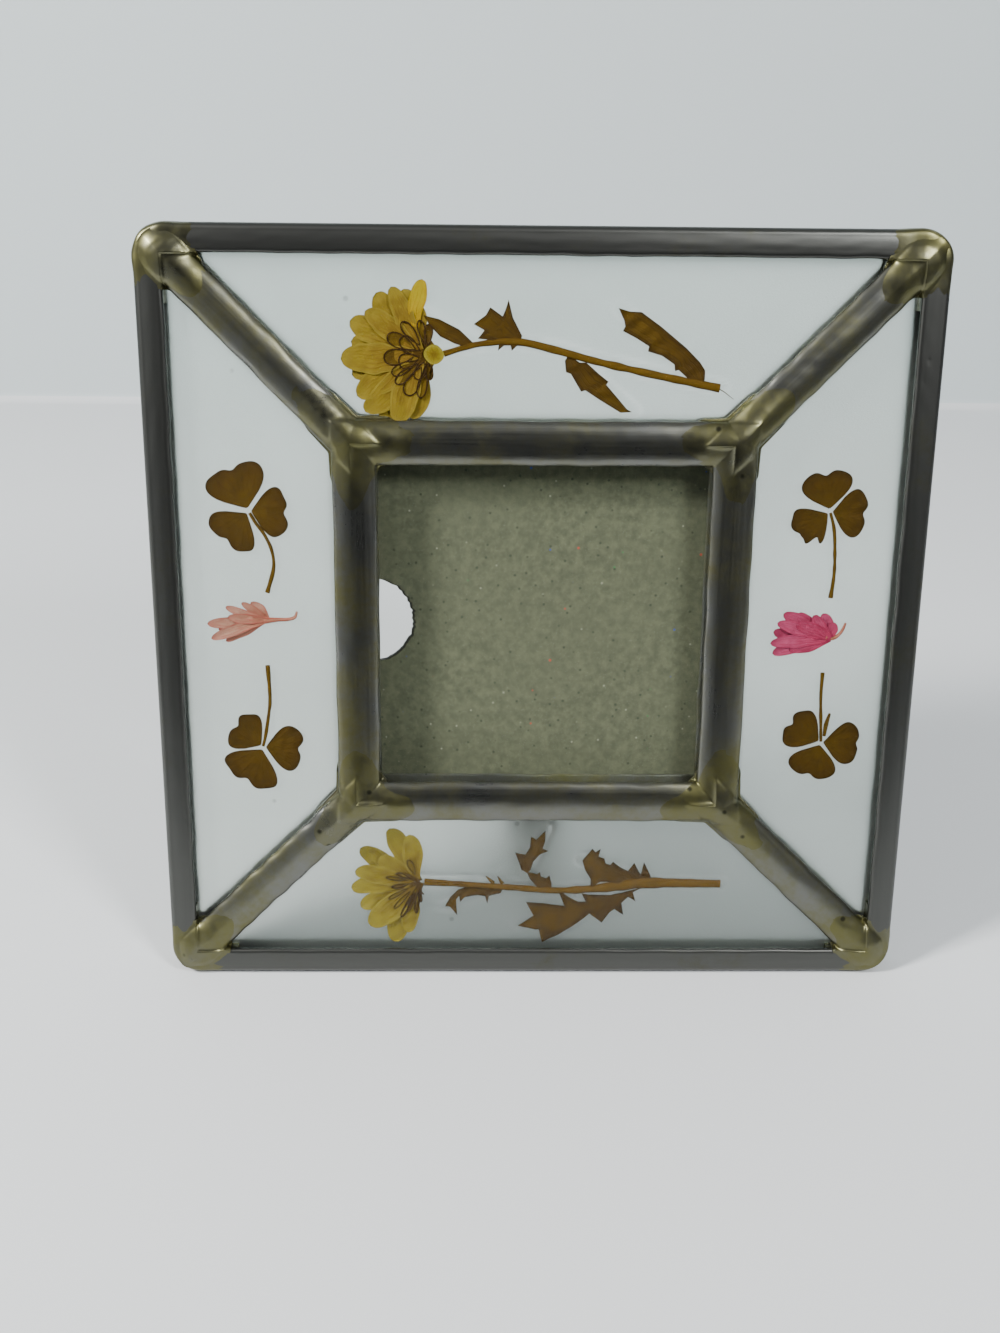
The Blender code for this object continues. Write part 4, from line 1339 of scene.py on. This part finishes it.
class MakeFrosted(bpy.types.Operator):
    """Frosted sheets behind the flowers, a little paler where they lift off along the stems, and with painted shade
    along the cames
    """

    bl_idname = "flowerframe.frosted"
    bl_label = "Frosted sheets"

    def execute(self, context):
        made = parts_of(context)
        for quarter, side in enumerate(SIDES):
            front, back, uv, marks = trapezoid(quarter, 32.1, 63.0, -BED - PANE, -BED, 1.1, 180 + quarter, True)
            u, v = front[..., 0], front[..., 1]
            near = np.min([distance_to(u, v, line) for line in plant_lines()], 0)
            marks["lift"] = np.exp(-((near - 1.2) / 0.45) ** 2) * (0.7 + 0.3 * waves(u, v, 190 + quarter, 5.0))
            reach = np.maximum(np.abs(u), np.abs(v))
            inner = np.maximum(np.abs(u - WINDOW_SHIFT), np.abs(v)) - 34.7
            hip = np.abs(np.abs(u) - np.abs(v)) / np.sqrt(2) - DIAGONAL
            gap = np.minimum(np.minimum(HALF - LIP - reach, inner), hip)
            # The edge mark is one at the cames and none from 1.3 mm out; the sheets' material paints shade with it
            # there.
            marks["edge"] = 1 - smooth(gap, 0.0, 1.3)
            piece(f"frosted_{side}", [sheet_shell(front, back, uv, marks)], made["frosted"],
                [f"frosted_back_{side}"])
        return {"FINISHED"}


class MakeBoard(bpy.types.Operator):
    """The speckled board behind the window, with its rough thumb notch"""

    bl_idname = "flowerframe.board"
    bl_label = "Backing board"

    def execute(self, context):
        made = parts_of(context)
        radius, centre, half = 7.4, -29.3, 30.9
        deg = np.linspace(-radians(80), radians(80), 150)
        arc_v = radius * np.sin(deg)
        v = np.concatenate([np.linspace(-half, arc_v[0] - 0.01, 24), arc_v,
            np.linspace(arc_v[-1] + 0.01, half, 24)])
        bite = np.where(np.abs(v) < radius * 0.99, centre + np.sqrt(np.clip(radius ** 2 - v ** 2, 0, None)),
            -half + 0 * v)
        torn = 0.16 * waves(v, 0 * v, 5, 1.3) + 0.08 * waves(v, 0 * v, 6, 0.5)
        left = np.where(np.abs(v) < radius * 0.99, np.maximum(bite + torn, -half), bite) + WINDOW_SHIFT
        share = np.linspace(0, 1, 70)[None, :] ** 1.7
        u = left[:, None] + (half + WINDOW_SHIFT - left[:, None]) * share
        tall = np.repeat(v[:, None], 70, 1)
        front = np.stack([u, tall, -1.3 + 0.012 * waves(u, tall, 8, 6.0)], -1)
        back = np.stack([u, tall, -2.5 + 0 * u], -1)
        notched = (np.abs(tall) < radius)
        edge = np.exp(-((u - left[:, None]) / 0.42) ** 2) * notched
        piece(
            "board", [sheet_shell(front, back, np.stack([u, tall], -1), {"edge": edge})], made["board"],
            ["backing_board"], 40,
        )
        return {"FINISHED"}


class FinishBack(bpy.types.Operator):
    """Metal finish on the slide pocket and the leg, which are the solids themselves"""

    bl_idname = "flowerframe.back"
    bl_label = "Pocket and leg"

    def execute(self, context):
        made = parts_of(context)
        for name in ("slide_pocket", "rear_leg"):
            mesh = NODES[name].data
            mesh.materials.clear()
            mesh.materials.append(made["strip"])
        return {"FINISHED"}


class MakeDaisies(bpy.types.Operator):
    """The two pressed daisies: fanned petals, bracts and stems"""

    bl_idname = "flowerframe.daisies"
    bl_label = "Daisies"

    def execute(self, context):
        made = parts_of(context)
        base = (-19.6, 44.9)
        tips = [
            (-22.6, 55.0, 1.0, 0.10), (-24.4, 55.4, 0.8, 0.25), (-26.9, 54.4, 1.1, 0.05),
            (-28.6, 51.6, 0.9, 0.30),
            (-31.1, 50.0, 1.1, 0.00), (-30.9, 46.9, 1.0, 0.30), (-32.6, 44.2, 1.2, 0.10),
            (-30.8, 41.4, 1.0, 0.35),
            (-30.0, 38.2, 1.1, 0.15), (-28.6, 35.6, 1.1, 0.05), (-26.0, 34.1, 1.1, 0.30),
            (-23.4, 34.0, 1.1, 0.05),
            (-20.9, 34.6, 1.1, 0.20),
        ]
        gold = petals(base, tips, 4.3, 300, 0.4, 0.42, 0.06)
        piece("top_petals", gold, made["gold"], ["top_daisy_petals"])
        bright = [blade((-20.6, 49.2), (-19.5, 56.6), 2.9, petal_form(0.40, 0.45), 330, 0.35, 0.2, tone=0.0,
            thick=0.05)]
        piece("top_petal_bright", bright, made["bright"])
        bracts = [
            (-22.7, 49.9, 1.7, 0.5), (-25.0, 47.8, 2.3, 0.1), (-23.0, 47.3, 2.2, 0.6), (-25.6, 44.3, 2.6, 0.3),
            (-23.2, 43.5, 2.5, 0.7),
            (-24.3, 41.8, 1.8, 0.3), (-23.7, 40.3, 1.7, 0.4), (-22.0, 38.5, 2.4, 0.2), (-19.8, 38.1, 1.6, 0.1),
            (-20.4, 41.0, 1.7, 0.8),
            (-19.9, 50.2, 1.2, 0.9), (-18.4, 49.6, 1.4, 0.9), (-18.3, 40.9, 1.3, 0.9),
        ]
        heart = (-18.6, 44.8)
        disc = petals(heart, bracts, 1.0, 340, 0.15, 0.55, 0.12, 0.05)
        piece("top_bracts", disc, made["bract"], ["top_daisy_disc"])
        outlines = [
            teardrop((heart[0] + 0.3 * (u - heart[0]), heart[1] + 0.3 * (v - heart[1])), (u, v), wide, 0.34,
                380 + index)
            for index, (u, v, wide, _) in enumerate(bracts)
        ]
        piece("top_bract_edges", outlines, made["disc"])
        knob = [loop_shell((-17.6, 44.9), 3.3, 0.28, 4, 0.0, 0.95, 0.5)]
        piece("top_knob", knob, made["pale"])
        stem = [
            rod(TOP_STEM, [1.0, 0.9, 1.15, 1.25, 1.2, 1.2, 1.25, 1.35], seed=350),
            rod([(-16.3, 45.1), (-18.2, 46.6), (-19.2, 48.8)], [0.5, 0.9, 0.4], 0.05, seed=352, tone=0.6),
            rod([(-16.3, 45.1), (-17.8, 43.4), (-18.7, 41.6)], [0.5, 0.6, 0.3], 0.05, seed=354, tone=0.6),
        ]
        piece("top_stem", stem, made["stem"], ["top_daisy_stem"])
        hair = [rod([(28.7, 39.8), (29.6, 39.3), (30.4, 38.7), (31.1, 38.2)], [0.16, 0.12, 0.08], 0.1, 1.0, 360,
            40, 6, 0.9)]
        piece("top_fibre", hair, made["stem"])

        base = (-21.0, -47.6)
        tips = [
            (-25.6, -37.0, 1.05, 0.05), (-22.3, -38.2, 0.95, 0.25), (-30.9, -41.0, 1.0, 0.10),
            (-31.9, -45.3, 0.95, 0.20),
            (-32.7, -48.9, 1.0, 0.00), (-31.1, -52.9, 1.0, 0.15), (-29.5, -56.5, 1.25, 0.05),
            (-25.4, -60.0, 1.15, 0.10),
            (-22.6, -58.0, 0.85, 0.30), (-27.6, -42.6, 0.9, 0.45), (-28.4, -50.8, 0.9, 0.45),
        ]
        pale = petals(base, tips, 4.1, 400, 0.35, 0.32, 0.05)
        piece("bottom_petals", pale, made["pale"], ["bottom_daisy_petals"])
        streaks = [
            (-22.4, -43.2, 1.5, 0.3), (-24.6, -45.8, 1.0, 0.6), (-26.4, -46.6, 0.9, 0.7),
            (-25.4, -48.6, 1.1, 0.5), (-26.0, -51.0, 1.0, 0.8),
            (-25.0, -52.9, 1.1, 0.5), (-23.8, -54.7, 1.2, 0.7), (-22.6, -53.6, 1.0, 0.9),
            (-21.1, -53.9, 1.0, 0.6), (-20.2, -51.6, 0.8, 0.8),
        ]
        bed = petals((-20.3, -47.6), streaks, 1.1, 430, 0.25, 0.5, 0.03, 0.1)
        piece("bottom_bracts", bed, made["bract"], ["bottom_daisy_disc"])
        edges = [
            teardrop((-20.6 + 0.35 * (u + 20.6), -47.6 + 0.35 * (v + 47.6)), (u, v), wide * 0.7, 0.36,
                480 + index, 0.16)
            for index, (u, v, wide, _) in enumerate(streaks)
        ]
        piece("bottom_bract_edges", edges, made["disc"])
        stem = [
            rod(BOTTOM_STEM, [1.5, 1.1, 1.2, 1.25, 1.3, 1.5, 2.3, 2.0, 1.5], seed=440),
            rod([(-19.9, -47.9), (-20.3, -49.4), (-19.7, -50.2)], [0.7, 0.5, 0.2], 0.1, seed=441, tone=0.8),
            rod([(-7.2, -47.9), (-7.9, -47.2), (-8.6, -46.5)], [0.8, 0.5, 0.15], 0.0, seed=442, tone=0.8),
            rod([(-5.6, -48.0), (-6.0, -47.4), (-6.5, -46.5)], [0.8, 0.5, 0.15], 0.0, seed=443, tone=0.8),
        ]
        piece("bottom_stem", stem, made["stem"], ["bottom_daisy_stem"])
        return {"FINISHED"}


class MakeLeaves(bpy.types.Operator):
    """The jagged leaves along both daisy stems"""

    bl_idname = "flowerframe.leaves"
    bl_label = "Leaves"

    def execute(self, context):
        made = parts_of(context)
        for index, (base, tip, left, right) in enumerate(LEAVES):
            level = (0.12, 0.10, -0.10, 0.05, -0.12, 0.0, 0.1, 0.1, -0.12)[index]
            leaf = cut_leaf(base, tip, left, right, level, 500 + 9 * index,
                (0.1, 0.0, 0.0, 0.05, 0.1, 0.2, 0.1, 0.15, 0.0)[index])
            piece(LEAF_NAMES[index], [leaf], made["leaf"], LEAF_NODES[index])
        return {"FINISHED"}


class MakeClovers(bpy.types.Operator):
    """Four clover leaves, each of three heart-shaped leaflets on a thin stalk"""

    bl_idname = "flowerframe.clovers"
    bl_label = "Clovers"

    def execute(self, context):
        made = parts_of(context)
        # Each leaflet: heading in degrees, length, width, tear, tone.
        clovers = (
            ("clover_top_left", (-48.4, 19.2),
                ((111, 7.8, 10.1, 0.0, 0.10), (-2, 6.4, 8.5, 0.0, 0.0), (231, 6.7, 8.8, 0.0, 0.3)),
             [(-48.2, 18.9), (-47.2, 17.2), (-45.8, 15.2), (-44.7, 12.6), (-44.5, 9.6), (-45.7, 5.4)]),
            ("clover_bottom_left", (-47.4, -22.2),
                ((139, 6.2, 7.7, 0.0, 0.5), (-1, 6.6, 8.4, 0.0, 0.1), (242, 7.2, 10.0, 0.0, 0.0)),
             [(-47.4, -22.0), (-46.9, -20.0), (-46.2, -16.0), (-45.9, -13.1), (-46.1, -7.4)]),
            ("clover_top_right", (48.4, 19.7),
                ((100, 6.7, 8.7, 0.0, 0.15), (-4, 6.0, 8.0, 0.0, 0.0), (218, 6.6, 7.6, 0.30, 0.1)),
             [(48.5, 19.5), (49.3, 16.8), (49.7, 13.4), (49.9, 9.0), (49.6, 4.9)]),
            ("clover_bottom_right", (49.8, -21.1),
                ((147, 6.9, 7.4, 0.0, 0.1), (-3, 6.8, 7.7, 0.0, 0.1), (253, 6.4, 9.0, 0.0, 0.15)),
             [(49.8, -20.9), (49.5, -17.0), (49.2, -12.6), (49.2, -8.4)]),
        )
        for index, (name, centre, leaflets, stalk) in enumerate(clovers):
            shells = []
            for turn, (heading, size, wide, torn, tone) in enumerate(leaflets):
                shells.append(leaflet_shell(
                    centre, radians(heading), size, wide, 0.12 * (turn - 1), 600 + 20 * index + 3 * turn, tone,
                    torn
                ))
            piece(name + "_leaflets", shells, made["clover"], [name])
            stalks = [rod(stalk, [0.5, 0.62, 0.6, 0.6, 0.8], 0.1, 0.8, 690 + index, tone=0.5)]
            if name == "clover_bottom_right":
                stalks.append(rod([(50.3, -19.9), (50.5, -17.8), (51.0, -15.8)], [0.5, 0.9, 0.4], 0.15, 0.8,
                    699, 40, tone=0.8))
            piece(name + "_stalk", stalks, made["stem"])
        return {"FINISHED"}


class MakeFlorets(bpy.types.Operator):
    """A pale pink floret at the left and a magenta one at the right, each with its hooked tube"""

    bl_idname = "flowerframe.florets"
    bl_label = "Florets"

    def execute(self, context):
        made = parts_of(context)
        tips = [
            (-56.2, -0.2, 1.1, 0.2), (-55.6, -2.9, 1.0, 0.0), (-53.2, -3.3, 0.8, 0.4), (-52.9, 2.8, 0.8, 0.0),
            (-50.2, 3.5, 0.7, 0.5),
            (-48.6, 3.6, 0.8, 0.2), (-52.6, 0.9, 0.9, 0.6), (-54.4, -1.3, 0.8, 0.5),
        ]
        piece("pink_petals", petals((-45.6, 0.6), tips, 2.1, 700, 0.3, 0.30, 0.0), made["pink"],
            ["pink_floret_petals"])
        tube = [rod([(-46.4, 0.5), (-44.1, 0.7), (-42.4, 0.8), (-41.2, 1.2), (-40.8, 2.2)],
            [1.1, 0.75, 0.6, 0.5, 0.35], seed=720, tone=0.1)]
        piece("pink_tube", tube, made["pink"], ["pink_floret_stem"])
        tips = [
            (40.1, -4.7, 1.1, 0.1), (39.6, -2.8, 1.0, 0.0), (40.1, -1.0, 1.1, 0.3), (40.6, 0.6, 1.0, 0.1),
            (41.6, 2.1, 1.1, 0.4),
            (44.2, 2.2, 1.0, 0.2), (46.8, 1.9, 0.9, 0.5), (48.6, 2.1, 0.9, 0.0), (50.4, 0.6, 0.8, 0.4),
            (43.0, -4.2, 0.9, 0.5),
            (42.0, -2.0, 1.0, 0.7), (44.0, 0.4, 1.0, 0.6),
        ]
        piece("magenta_petals", petals((50.1, -2.2), tips, 2.5, 740, 0.3, 0.42, 0.0), made["magenta"],
            ["magenta_floret_petals"])
        tube = [rod([(49.2, -2.1), (50.6, -2.2), (51.6, -1.6), (52.2, -0.7), (52.6, 0.4)],
            [1.0, 0.75, 0.6, 0.55, 0.4], seed=760, tone=0.1)]
        piece("magenta_tube", tube, made["pink"], ["magenta_floret_stem"])
        return {"FINISHED"}


ORDER = (
    MakeStage, MakeOuterChannel, MakeDiagonals, MakeWindowCames, MakeCornerSolder, MakeWindowSolder, MakeGlass,
    MakeFrosted,
    MakeBoard, FinishBack, MakeDaisies, MakeLeaves, MakeClovers, MakeFlorets,
)


class FlowerFramePanel(bpy.types.Panel):
    """Lists the looks and the makers of the frame"""

    bl_idname = "VIEW3D_PT_flower_frame"
    bl_label = "Flower Frame"
    bl_space_type = "VIEW_3D"
    bl_region_type = "UI"
    bl_category = "Flower Frame"

    def draw(self, context):
        for group in (context.scene.frame_look, context.scene.stage_look):
            box = self.layout.box()
            for name in group.__annotations__:
                box.prop(group, name)
        for operator in ORDER:
            self.layout.operator(operator.bl_idname)


CLASSES = (FrameLook, StageLook, *ORDER, FlowerFramePanel)


def register():
    for made in CLASSES:
        bpy.utils.register_class(made)
    bpy.types.Scene.frame_look = bpy.props.PointerProperty(type=FrameLook)
    bpy.types.Scene.stage_look = bpy.props.PointerProperty(type=StageLook)


def unregister():
    del bpy.types.Scene.frame_look
    del bpy.types.Scene.stage_look
    for made in reversed(CLASSES):
        bpy.utils.unregister_class(made)


def main():
    register()
    for operator in ORDER:
        group, name = operator.bl_idname.split(".")
        getattr(getattr(bpy.ops, group), name)()


if __name__ == "__main__":
    main()
